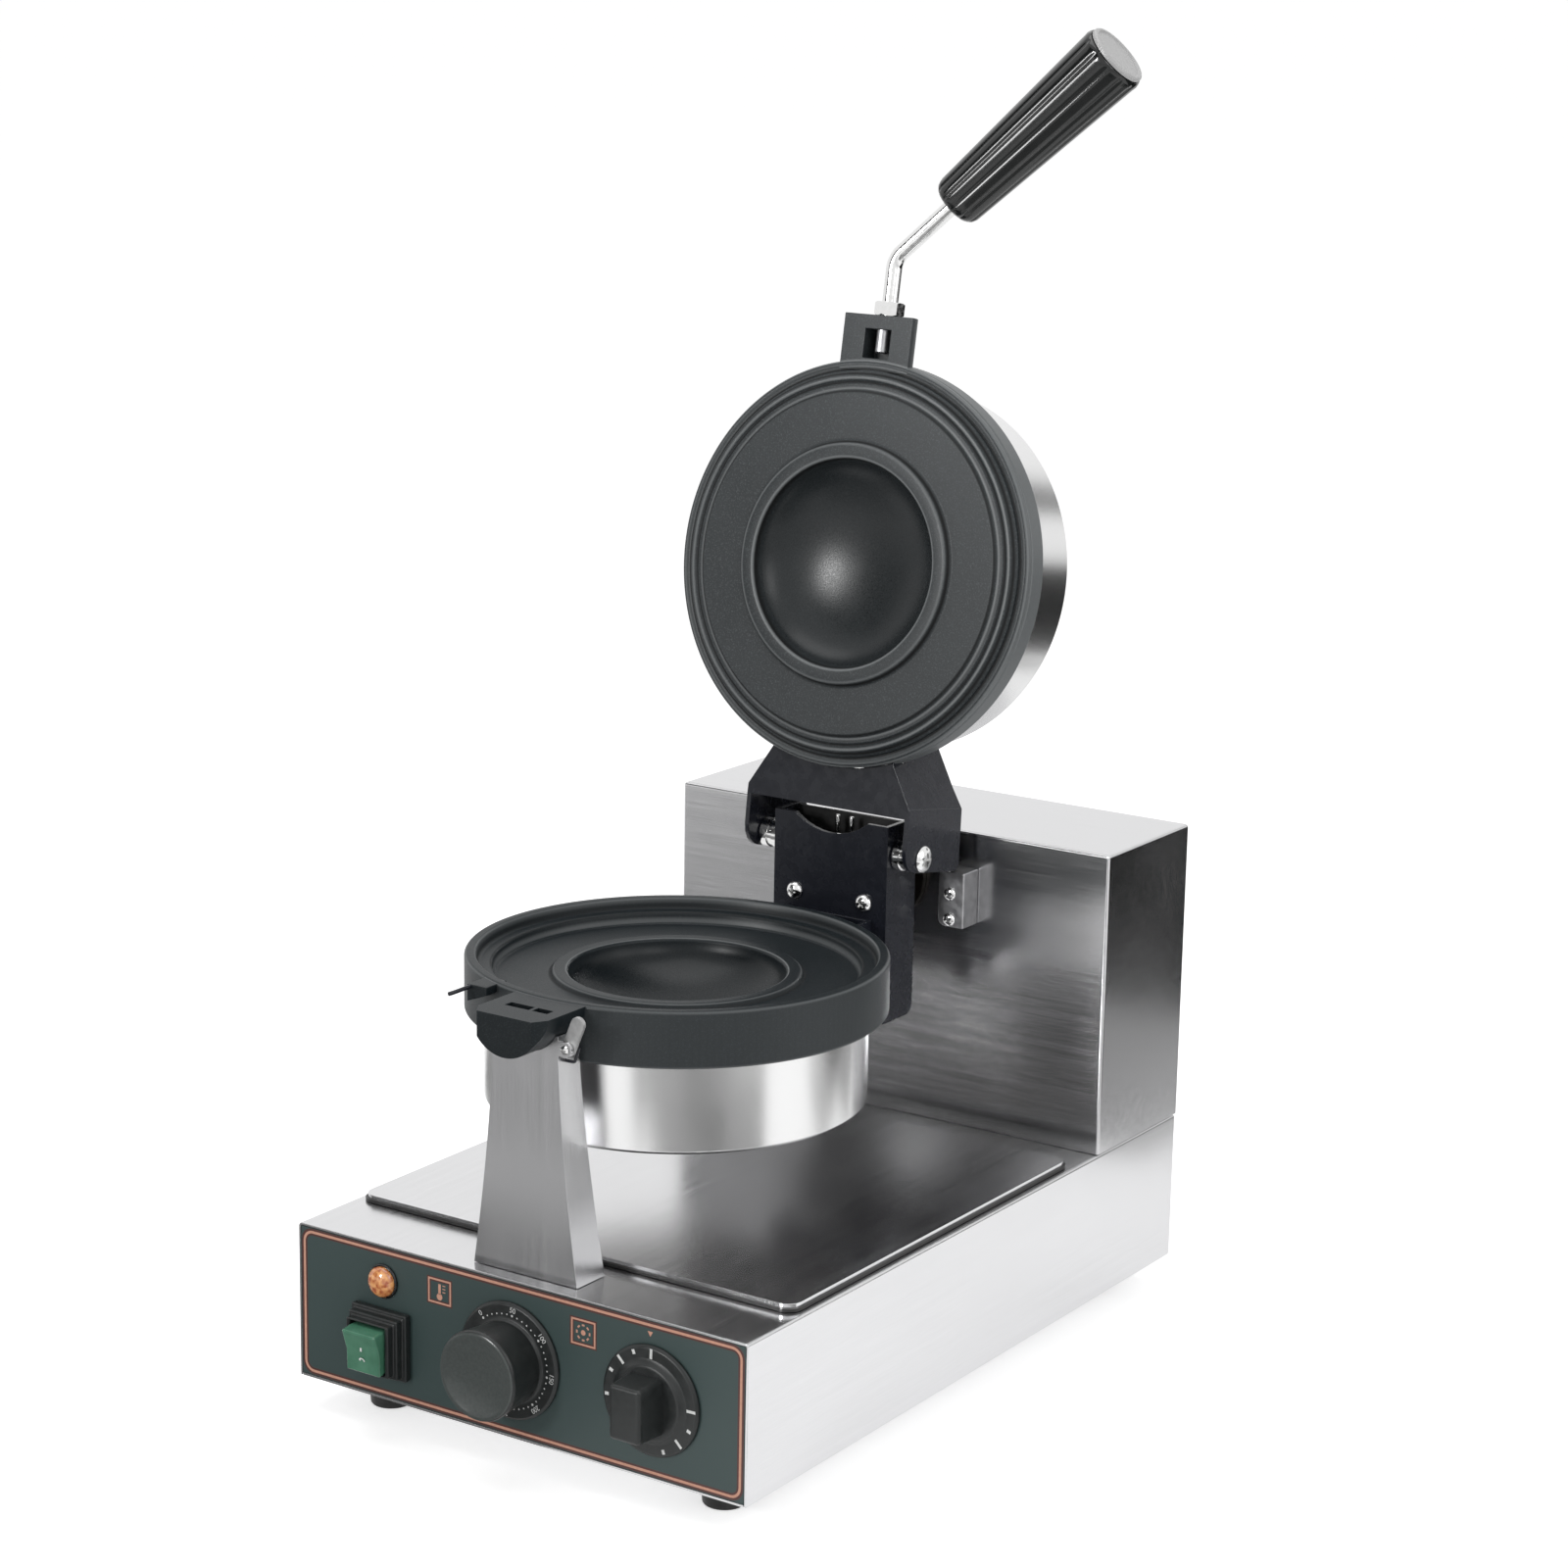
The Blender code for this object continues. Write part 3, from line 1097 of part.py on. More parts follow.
def lower_mould(centre):
    casting = turned("lower_mould", lower_profile(), CAST_BLACK, centre, segments=ROUND)
    tab = tool(tab_mesh(JOURNAL_FRONT, -1), centre, turn=TO_FRONT)
    taper = [
        (TAB_TAPER_WIDTH - JOURNAL_RADIUS, -JOURNAL_FRONT - OVERRUN),
        (JOURNAL_RADIUS - TAB_TAPER_WIDTH, -JOURNAL_FRONT - OVERRUN),
        (JOURNAL_RADIUS - TAB_TAPER_WIDTH, -JOURNAL_FRONT),
        (JOURNAL_RADIUS, TAB_TAPER_LENGTH - JOURNAL_FRONT),
        (JOURNAL_RADIUS + OVERRUN, TAB_TAPER_LENGTH - JOURNAL_FRONT),
        (JOURNAL_RADIUS + OVERRUN, -POCKET_RADIUS),
        (-JOURNAL_RADIUS - OVERRUN, -POCKET_RADIUS),
        (-JOURNAL_RADIUS - OVERRUN, TAB_TAPER_LENGTH - JOURNAL_FRONT),
        (-JOURNAL_RADIUS, TAB_TAPER_LENGTH - JOURNAL_FRONT),
        (TAB_TAPER_WIDTH - JOURNAL_RADIUS, -JOURNAL_FRONT),
    ]
    trim(tab, tool(flat_mesh(taper, -JOURNAL_RADIUS - OVERRUN, OVERRUN), centre))
    join(casting, tab)

    lug = [(-LUG_INNER_X, 0), (-LUG_OUTER_X, 0), (-LUG_OUTER_X, -LUG_DEPTH), (-LUG_INNER_X, -LUG_DEPTH / 2)]
    lug = [(x, z - TAB_RELIEF) for x, z in lug]
    join(casting, tool(flat_mesh(lug, LUG_BACK, LUG_FRONT), centre, turn=TO_FRONT))
    boss = rod_mesh(BOSS_RADIUS, LOWER_POCKET - CAST_WALL - DRUM_SCREW_SEAT, LOWER_POCKET - CAST_WALL / 2)
    join(casting, tool(boss, centre))

    slots = [(-SLOT_LEFT, SLOT_BRIDGE_X - SLOT_BRIDGE / 2), (SLOT_BRIDGE_X + SLOT_BRIDGE / 2, SLOT_RIGHT)]
    pairs = [((left, -SLOT_FRONT, -SLOT_DEPTH), (right, -SLOT_BACK, OVERRUN)) for left, right in slots]
    cut(casting, tool(blocks_mesh(pairs), centre))
    pin_hole = rod_mesh(PIN_RADIUS + GAP, LUG_FRONT - PIN_SEAT, PIN_FRONT, TINY_ROUND)
    cut(casting, tool(pin_hole, centre, (-PIN_X, 0, -PIN_DROP), TO_FRONT))
    seat = LOWER_POCKET - CAST_WALL - DRUM_SCREW_SEAT
    thread = rod_mesh(DRUM_SCREW_RADIUS + GAP, seat - OVERRUN, LOWER_POCKET - CAST_WALL / 2)
    cut(casting, tool(thread, centre))

    route = [(0, -PIN_FRONT, 0), (0, PIN_SEAT - GAP - LUG_FRONT, 0)]
    piece("latch_pin", wire_mesh(route, PIN_RADIUS, 4), BLACK_PAINT, centre, (-PIN_X, 0, -PIN_DROP))


def upper_mould(lid, at):
    casting = turned("upper_mould", upper_profile(), CAST_BLACK, lid, at, segments=ROUND)
    tab = tool(tab_mesh(UPPER_TAB_FRONT, 1), lid, at, TO_FRONT)
    plan = rounded([
        (-JOURNAL_RADIUS, -UPPER_TAB_FRONT, UPPER_TAB_CORNER),
        (JOURNAL_RADIUS, -UPPER_TAB_FRONT, UPPER_TAB_CORNER),
        (JOURNAL_RADIUS, -POCKET_RADIUS, 0),
        (-JOURNAL_RADIUS, -POCKET_RADIUS, 0),
    ])
    trim(tab, tool(flat_mesh(plan, -OVERRUN, JOURNAL_RADIUS + OVERRUN), lid, at))
    window = block_mesh(
        (-WINDOW_LEFT, -WINDOW_FRONT, -OVERRUN), (WINDOW_RIGHT, -WINDOW_BACK, WINDOW_DEPTH)
    )
    cut(tab, tool(window, lid, at))
    back = -WINDOW_BACK
    lug = block_mesh(
        (-WINDOW_LUG_WIDTH / 2, back - WINDOW_LUG_LENGTH, TAB_RELIEF + SEAT_GAP),
        (WINDOW_LUG_WIDTH / 2, back + GROOVE_DEPTH, WINDOW_LUG_HEIGHT),
    )
    join(tab, tool(lug, lid, at))
    join(casting, tab)
    hole = rod_mesh(ROD_RADIUS + GAP, WINDOW_FRONT - OVERRUN, UPPER_TAB_FRONT + OVERRUN)
    cut(casting, tool(hole, lid, at + Vector((0, 0, HANDLE_RISE)), TO_FRONT))
    top = UPPER_POCKET + CAST_WALL
    boss = rod_mesh(BOSS_RADIUS, top - CAST_WALL / 2, top + DRUM_SCREW_SEAT)
    join(casting, tool(boss, lid, at))
    cut(casting, tool(rod_mesh(DRUM_SCREW_RADIUS + GAP, top - CAST_WALL / 2, top + OVERRUN * 2), lid, at))


def drum(name, parent, at, side, start, length, screw_from):
    """A heater housing: an open drum over the back of a casting, and the screw that holds it there."""
    turn = NO_TURN if side > 0 else (math.pi, 0, 0)
    near, far = start + GAP, start + length
    profile = [
        (DRUM_SCREW_RADIUS + GAP, far),
        (DRUM_RADIUS - DRUM_EDGE, far),
        (DRUM_RADIUS, far - DRUM_EDGE),
        (DRUM_RADIUS, near),
        (DRUM_RADIUS - DRUM_SHEET, near),
        (DRUM_RADIUS - DRUM_SHEET, far - DRUM_SHEET),
        (DRUM_SCREW_RADIUS + GAP, far - DRUM_SHEET),
    ]
    turned(f"{name}_drum", profile, BRUSHED, parent, at, turn, ROUND)
    head = far + GAP
    screw = piece(
        f"{name}_drum_screw",
        rod_mesh(DRUM_SCREW_HEAD_RADIUS, head, head + DRUM_SCREW_HEAD, 6),
        CHROME,
        parent,
        at,
        turn,
    )
    shank = rod_mesh(DRUM_SCREW_RADIUS, screw_from + GAP, head + DRUM_SCREW_HEAD / 2)
    join(screw, tool(shank, parent, at, turn))


def heater(name, parent, at, side, level):
    """A tubular ring heater against the back of a casting, with its two ends turned away from it."""
    turn = NO_TURN if side > 0 else (math.pi, 0, 0)
    z = level + GAP + HEATER_TUBE_RADIUS
    first = math.pi / 2 + HEATER_GAP_TURN / 2
    sweep = 2 * math.pi - HEATER_GAP_TURN
    ring = []
    for step in range(HEATER_STEPS + 1):
        angle = first + sweep * step / HEATER_STEPS
        ring.append((HEATER_RADIUS * math.cos(angle), HEATER_RADIUS * math.sin(angle), z))
    tails = [(ring[0][0], ring[0][1], z + HEATER_TAIL), (ring[-1][0], ring[-1][1], z + HEATER_TAIL)]
    piece(name, wire_mesh([tails[0], *ring, tails[1]], HEATER_TUBE_RADIUS, 2), STEEL, parent, at, turn)


def shaft(head):
    """The hollow shaft with its flange, two bushings, the frame that holds them and the collar behind."""
    start = CHANNEL_SHEET + GAP
    flange_back = start + SHAFT_FLANGE_THICKNESS
    profile = [
        (SHAFT_BORE_RADIUS, SHAFT_BACK - CHANNEL_SETBACK),
        (SHAFT_RADIUS, SHAFT_BACK - CHANNEL_SETBACK),
        (SHAFT_RADIUS, flange_back),
        (SHAFT_FLANGE_RADIUS, flange_back),
        (SHAFT_FLANGE_RADIUS, start),
        (SHAFT_BORE_RADIUS, start),
    ]
    at = (0, CHANNEL_SETBACK, 0)
    tube = turned("head_shaft", profile, STEEL, head, at, TO_BACK, MEDIUM_ROUND)
    half = SHAFT_SLOT_WIDTH / 2
    slot = block_mesh((-half, 0, 0), (half, flange_back - GAP, SHAFT_FLANGE_RADIUS + OVERRUN))
    cut(tube, tool(slot, head, at))
    for side in (-1, 1):
        hole = rod_mesh(CHANNEL_SCREW_RADIUS + GAP, 0, flange_back + OVERRUN, TINY_ROUND)
        place = (side * CHANNEL_SCREW_X, CHANNEL_SETBACK, -CHANNEL_SCREW_DROP)
        cut(tube, tool(hole, head, place, TO_BACK))

    bore = SHAFT_RADIUS + RUN_GAP
    sleeve = bore + BUSHING_WALL
    frame_front = SHEET + GAP
    frame_back = frame_front + FRAME_DEPTH
    front_bushing = [
        (bore, frame_front + FRAME_THICKNESS + BUSHING_TAIL),
        (sleeve, frame_front + FRAME_THICKNESS + BUSHING_TAIL),
        (sleeve, -GAP),
        (BUSHING_FLANGE_RADIUS, -GAP),
        (BUSHING_FLANGE_RADIUS, -GAP - BUSHING_FLANGE_THICKNESS),
        (bore, -GAP - BUSHING_FLANGE_THICKNESS),
    ]
    axis = (0, Y_TOWER, Z_AXIS)
    turned("front_bushing", front_bushing, BRONZE, at=axis, turn=TO_BACK, segments=MEDIUM_ROUND)
    back_face = frame_back + GAP
    back_bushing = [
        (bore, back_face + BUSHING_FLANGE_THICKNESS),
        (BUSHING_FLANGE_RADIUS, back_face + BUSHING_FLANGE_THICKNESS),
        (BUSHING_FLANGE_RADIUS, back_face),
        (sleeve, back_face),
        (sleeve, frame_back - FRAME_THICKNESS - BUSHING_TAIL),
        (bore, frame_back - FRAME_THICKNESS - BUSHING_TAIL),
    ]
    turned("back_bushing", back_bushing, BRONZE, at=axis, turn=TO_BACK, segments=MEDIUM_ROUND)

    half = FRAME_WIDTH / 2
    low = (-half, Y_TOWER + frame_front, Z_AXIS - FRAME_BELOW_AXIS)
    high = (half, Y_TOWER + frame_back, Z_AXIS + FRAME_ABOVE_AXIS)
    frame = piece("bearing_frame", block_mesh(low, high), STEEL)
    inside_low = (-half - OVERRUN, low[1] + FRAME_THICKNESS, low[2] + FRAME_THICKNESS)
    inside_high = (half + OVERRUN, high[1] - FRAME_THICKNESS, high[2] + OVERRUN)
    cut(frame, tool(block_mesh(inside_low, inside_high)))
    cut(frame, tool(rod_mesh(sleeve + GAP, 0, frame_back + OVERRUN, MEDIUM_ROUND), at=axis, turn=TO_BACK))

    collar = [
        (SHAFT_RADIUS + GAP, COLLAR_LENGTH),
        (COLLAR_RADIUS, COLLAR_LENGTH),
        (COLLAR_RADIUS, 0),
        (SHAFT_RADIUS + GAP, 0),
    ]
    turned("shaft_collar", collar, STEEL, head, (0, COLLAR_START, 0), TO_BACK, MEDIUM_ROUND)


def channel(head):
    """The hinge channel on the shaft's flange, its two screws, and the arm that carries the lower mould."""
    half = CHANNEL_WIDTH / 2
    front, back = CHANNEL_SETBACK, CHANNEL_SETBACK + CHANNEL_DEPTH
    side = rounded([
        (front, -CHANNEL_BELOW_AXIS, 0),
        (back, -CHANNEL_BELOW_AXIS, CHANNEL_CORNER),
        (back, CHANNEL_ABOVE_AXIS, CHANNEL_CORNER),
        (front, CHANNEL_ABOVE_AXIS, 0),
    ])
    body = piece("hinge_channel", flat_mesh(side, -half, half), BLACK_PAINT, head, turn=TO_SIDE)
    inner = half - CHANNEL_SHEET
    inside = block_mesh(
        (-inner, front + CHANNEL_SHEET, -CHANNEL_BELOW_AXIS - OVERRUN),
        (inner, back + OVERRUN, CHANNEL_ABOVE_AXIS + OVERRUN),
    )
    cut(body, tool(inside, head))
    chord, depth = CHANNEL_NOTCH_WIDTH / 2, CHANNEL_NOTCH_DEPTH
    notch_radius = (chord**2 + depth**2) / (2 * depth)
    notch = rod_mesh(notch_radius, front - OVERRUN, front + CHANNEL_SHEET + OVERRUN, ROUND)
    cut(body, tool(notch, head, (0, 0, CHANNEL_ABOVE_AXIS - depth + notch_radius), TO_BACK))
    for side in (-1, 1):
        place = (side * CHANNEL_SCREW_X, front, -CHANNEL_SCREW_DROP)
        hole = rod_mesh(CHANNEL_SCREW_RADIUS + GAP, -OVERRUN, CHANNEL_SHEET + OVERRUN, TINY_ROUND)
        cut(body, tool(hole, head, place, TO_BACK))
        radius, height = CHANNEL_SCREW_HEAD_RADIUS, CHANNEL_SCREW_HEAD
        screw = [
            (0, GAP + height),
            (radius / 2, GAP + height * CHANNEL_SCREW_DOME_SHARE),
            (radius, GAP + height / 3),
            (radius, GAP),
            (CHANNEL_SCREW_RADIUS, GAP),
            (CHANNEL_SCREW_RADIUS, -CHANNEL_SHEET - SHAFT_FLANGE_THICKNESS),
            (0, -CHANNEL_SHEET - SHAFT_FLANGE_THICKNESS),
        ]
        name = "channel_screw_left" if side < 0 else "channel_screw_right"
        turned(name, screw, CHROME, head, place, TO_FRONT)
    bolt_holes = rod_mesh(BOLT_RADIUS + GAP, -half - OVERRUN, half + OVERRUN)
    cut(body, tool(bolt_holes, head, (0, HINGE_REACH, HINGE_RISE), TO_RIGHT))

    half = ARM_WIDTH / 2
    back = front - GAP
    near = math.sqrt(DRUM_RADIUS**2 - half**2) - OVERRUN
    arm = piece(
        "lower_arm",
        block_mesh((-half, near, -ARM_BOTTOM_DROP), (half, back, -ARM_TOP_DROP)),
        BLACK_PAINT,
        head,
    )
    inner = half - ARM_SHEET
    inside = block_mesh(
        (-inner, near - OVERRUN, ARM_SHEET - ARM_BOTTOM_DROP), (inner, back - ARM_SHEET, OVERRUN)
    )
    cut(arm, tool(inside, head))
    band = rod_mesh(MOULD_RADIUS + GAP, -LOWER_BAND - GAP, OVERRUN, ROUND)
    drum_side = rod_mesh(DRUM_RADIUS + GAP, -ARM_BOTTOM_DROP - OVERRUN, OVERRUN, ROUND)
    cut(arm, tool(band, head), tool(drum_side, head))


def hinge(head):
    """The two hinge bolts, with a spacer outside each channel flange and a nut inside it."""
    flange = CHANNEL_WIDTH / 2
    ear = BRACKET_HALF_WIDTH
    nut_start = flange - CHANNEL_SHEET - GAP
    for side, name in ((-1, "left"), (1, "right")):
        turn = TO_LEFT if side < 0 else TO_RIGHT
        at = (0, HINGE_REACH, HINGE_RISE)
        head_low, head_high = ear + GAP, ear + GAP + BOLT_HEAD
        bolt = [
            (0, head_high),
            (BOLT_HEAD_RADIUS - BOLT_EDGE, head_high),
            (BOLT_HEAD_RADIUS, head_high - BOLT_EDGE),
            (BOLT_HEAD_RADIUS, head_low),
            (BOLT_RADIUS, head_low),
            (BOLT_RADIUS, nut_start - NUT_LENGTH - BOLT_TAIL),
            (0, nut_start - NUT_LENGTH - BOLT_TAIL),
        ]
        turned(f"hinge_bolt_{name}", bolt, CHROME, head, at, turn)
        inside = ear - BRACKET_SHEET - GAP
        spacer = [
            (BOLT_RADIUS + GAP, inside),
            (SPACER_RADIUS, inside),
            (SPACER_RADIUS, flange + GAP),
            (BOLT_RADIUS + GAP, flange + GAP),
        ]
        turned(f"hinge_spacer_{name}", spacer, CHROME, head, at, turn)
        nut = piece(
            f"hinge_nut_{name}",
            rod_mesh(NUT_RADIUS, nut_start - NUT_LENGTH, nut_start, 6),
            CHROME,
            head,
            at,
            turn,
        )
        hole = rod_mesh(BOLT_RADIUS + GAP, nut_start - NUT_LENGTH - OVERRUN, nut_start + OVERRUN)
        cut(nut, tool(hole, head, at, turn))


def bracket_plan(inset):
    """The lid bracket seen from above: a neck that widens to two parallel ears."""
    ear, neck = BRACKET_HALF_WIDTH - inset, BRACKET_NECK_HALF_WIDTH - inset
    near, far = BRACKET_NECK_REACH, BRACKET_BACK_REACH
    if inset:
        near, far = near - OVERRUN, far + OVERRUN
    right = [(neck, near), (ear, BRACKET_SHOULDER_REACH), (ear, far)]
    return mirrored(right)


def lid_bracket(lid, at):
    """The folded bracket: a web under two walls that end in the ears with the hinge holes."""
    bottom, top = BRACKET_WEB_RISE, BRACKET_TOP_RISE
    body = piece("lid_bracket", flat_mesh(bracket_plan(0), bottom, top), BLACK_PAINT, lid, at)
    inside = flat_mesh(bracket_plan(BRACKET_SHEET), bottom + BRACKET_SHEET, top + OVERRUN)
    cut(body, tool(inside, lid, at))
    half = BRACKET_HALF_WIDTH - BRACKET_SHEET
    open_end = block_mesh(
        (-half, BRACKET_WEB_REACH, bottom - OVERRUN),
        (half, BRACKET_BACK_REACH + OVERRUN, bottom + BRACKET_SHEET + OVERRUN),
    )
    cut(body, tool(open_end, lid, at))
    side = rounded([
        (BRACKET_NECK_REACH - OVERRUN, bottom - OVERRUN, 0),
        (BRACKET_WEB_REACH, bottom - OVERRUN, 0),
        (BRACKET_WEB_REACH, bottom, 0),
        (BRACKET_BACK_REACH, BRACKET_CHIN_RISE, BRACKET_CHIN_CORNER),
        (BRACKET_BACK_REACH, top, BRACKET_TOP_CORNER),
        (BRACKET_NECK_TOP_REACH, BRACKET_NECK_TOP_RISE, 0),
        (BRACKET_NECK_REACH - OVERRUN, BRACKET_NECK_TOP_RISE, 0),
    ])
    half = BRACKET_HALF_WIDTH + OVERRUN
    trim(body, tool(flat_mesh(side, -half, half), lid, at, TO_SIDE))
    band = rod_mesh(MOULD_RADIUS + GAP, 0, UPPER_BAND + GAP, ROUND)
    cut(body, tool(band, lid, at), tool(rod_mesh(DRUM_RADIUS + GAP, 0, top + OVERRUN, ROUND), lid, at))
    holes = rod_mesh(BOLT_RADIUS + RUN_GAP, -half, half)
    cut(body, tool(holes, lid, NO_TURN, TO_RIGHT))


def grip_mesh():
    """The fluted grip along Z: a taper with a rounded nose, with shallow flutes that fade at both ends."""
    nose = [(GRIP_NEAR_RADIUS * wide, GRIP_NOSE * far, deep) for wide, far, deep in GRIP_NOSE_SHARES]
    slope = (GRIP_FAR_RADIUS - GRIP_NEAR_RADIUS) / GRIP_LENGTH
    body = [
        (GRIP_NEAR_RADIUS + slope * GRIP_NOSE, GRIP_NOSE, 1),
        (GRIP_NEAR_RADIUS + slope * GRIP_LENGTH / 2, GRIP_LENGTH / 2, 1),
        (GRIP_FAR_RADIUS - slope * GRIP_NOSE, GRIP_LENGTH - GRIP_NOSE, 1),
        (GRIP_FAR_RADIUS, GRIP_LENGTH - GRIP_NOSE / 2, GRIP_FADE_SHARE),
        (GRIP_FAR_RADIUS - GRIP_NOSE / 5, GRIP_LENGTH, 0),
    ]
    shape = bmesh.new()
    count = GRIP_FLUTES * 3
    rings = []
    for radius, height, depth in nose + body:
        ring = []
        for index in range(count):
            angle = 2 * math.pi * index / count
            flute = GRIP_FLUTE_DEPTH * depth * (1 + math.cos(GRIP_FLUTES * angle)) / 2
            spoke = radius - flute
            ring.append(shape.verts.new((spoke * math.cos(angle), spoke * math.sin(angle), height)))
        rings.append(ring)
    for low, high in zip(rings, rings[1:]):
        for index in range(count):
            after = (index + 1) % count
            shape.faces.new((low[index], low[after], high[after], high[index]))
    shape.faces.new(rings[0][::-1])
    shape.faces.new(rings[-1])
    return mesh_of(shape)


def handle(lid, at):
    """The crank: a nut against the upper tab, the bent rod, the grip and its end cap."""
    at = at + Vector((0, 0, HANDLE_RISE))
    nut_low, nut_high = UPPER_TAB_FRONT + GAP, UPPER_TAB_FRONT + GAP + HANDLE_NUT_LENGTH
    nut = piece("handle_nut", rod_mesh(NUT_RADIUS, nut_low, nut_high, 6), CHROME, lid, at, TO_FRONT)
    cut(nut, tool(rod_mesh(ROD_RADIUS + GAP, nut_low - OVERRUN, nut_high + OVERRUN), lid, at, TO_FRONT))

    corner = Vector((0, -ROD_BEND_REACH, 0))
    along = Vector((math.sin(ROD_TURN), -math.cos(ROD_TURN), 0))
    setback = ROD_BEND_RADIUS * math.tan(ROD_TURN / 2)
    centre = corner + Vector((ROD_BEND_RADIUS, setback, 0))
    route = [(0, ROD_SEAT - UPPER_TAB_FRONT, 0)]
    for step in range(ROD_BEND_STEPS + 1):
        angle = ROD_TURN * step / ROD_BEND_STEPS
        route.append(tuple(centre - ROD_BEND_RADIUS * Vector((math.cos(angle), math.sin(angle), 0))))
    grip_start = corner + along * ROD_ARM
    route.append(tuple(grip_start + along * (GRIP_BORE_DEPTH - GAP)))
    piece("handle_rod", wire_mesh(route, ROD_RADIUS, 4), CHROME, lid, at)

    turn = (math.pi / 2, 0, ROD_TURN)
    place = at + grip_start
    grip = piece("handle_grip", grip_mesh(), BLACK_PLASTIC, lid, place, turn)
    cut(grip, tool(rod_mesh(ROD_RADIUS + GAP, -OVERRUN, GRIP_BORE_DEPTH), lid, place, turn))
    low = GRIP_LENGTH + GAP
    cap = [
        (0, low + CAP_THICKNESS - CAP_DISH),
        (CAP_RADIUS - CAP_RIM, low + CAP_THICKNESS - CAP_DISH),
        (CAP_RADIUS - CAP_RIM, low + CAP_THICKNESS),
        (CAP_RADIUS - CAP_DISH, low + CAP_THICKNESS),
        (CAP_RADIUS, low + CAP_THICKNESS - CAP_DISH),
        (CAP_RADIUS, low),
        (0, low),
    ]
    turned("grip_cap", cap, CAP_GREY, lid, place, turn, MEDIUM_ROUND)


def head_and_lid():
    """Everything that turns with the shaft, and the lid that swings on it."""
    head = joint_empty("head_turn", (0, Y_MOULD, Z_AXIS))
    lower_mould(head)
    drum("lower", head, (0, 0, 0), -1, LOWER_BAND, LOWER_DRUM_LENGTH, CAST_WALL / 2 - LOWER_POCKET)
    heater("lower_heater", head, (0, 0, 0), -1, -BASIN_UNDERSIDE)
    shaft(head)
    channel(head)
    hinge(head)

    lid = joint_empty("lid_hinge", (0, HINGE_REACH, HINGE_RISE), head, (-LID_OPEN, 0, 0))
    at = Vector((0, -HINGE_REACH, -HINGE_RISE))
    upper_mould(lid, at)
    drum("upper", lid, at, 1, UPPER_BAND, UPPER_DRUM_LENGTH, UPPER_POCKET + CAST_WALL / 2)
    heater("upper_heater", lid, at, 1, BACK_PLATE)
    lid_bracket(lid, at)
    handle(lid, at)


base()
deck()
tower()
panel()
lamp()
switch()
controls()
wiring()
stand()
catch()
head_and_lid()
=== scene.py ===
import math

import bmesh
import bpy
from mathutils import Matrix, Vector


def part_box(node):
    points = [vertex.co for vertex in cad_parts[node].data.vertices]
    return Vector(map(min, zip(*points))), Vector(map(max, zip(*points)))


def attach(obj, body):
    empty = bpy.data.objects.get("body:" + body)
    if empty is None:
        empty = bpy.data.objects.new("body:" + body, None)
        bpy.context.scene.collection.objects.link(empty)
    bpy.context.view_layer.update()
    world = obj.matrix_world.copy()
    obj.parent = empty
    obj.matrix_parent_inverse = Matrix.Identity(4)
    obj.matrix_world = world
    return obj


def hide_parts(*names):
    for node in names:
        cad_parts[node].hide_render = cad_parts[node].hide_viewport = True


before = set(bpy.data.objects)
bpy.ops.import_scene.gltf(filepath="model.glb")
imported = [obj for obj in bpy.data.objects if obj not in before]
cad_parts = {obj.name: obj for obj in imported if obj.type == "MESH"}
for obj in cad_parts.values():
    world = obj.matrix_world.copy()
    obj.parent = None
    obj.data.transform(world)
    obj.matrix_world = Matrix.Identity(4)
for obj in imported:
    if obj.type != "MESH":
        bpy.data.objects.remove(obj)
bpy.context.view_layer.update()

# Base shell: brushed stainless sheet, folded into a box that is open in front and below.
# The grain runs front to back on the shell, and across on its floor.


class Tone:
    """A shader socket of a finish that plain arithmetic works on."""

    def __init__(self, finish, socket):
        self.finish = finish
        self.socket = socket

    def maths(self, operation, *values):
        return self.finish.node("ShaderNodeMath", {"operation": operation}, dict(enumerate(values)))

    def __add__(self, other):
        return self.maths("ADD", self, other)

    def __sub__(self, other):
        return self.maths("SUBTRACT", self, other)

    def __rsub__(self, other):
        return self.maths("SUBTRACT", other, self)

    def __mul__(self, other):
        return self.maths("MULTIPLY", self, other)

    def __abs__(self):
        return self.maths("ABSOLUTE", self)

    __radd__ = __add__
    __rmul__ = __mul__


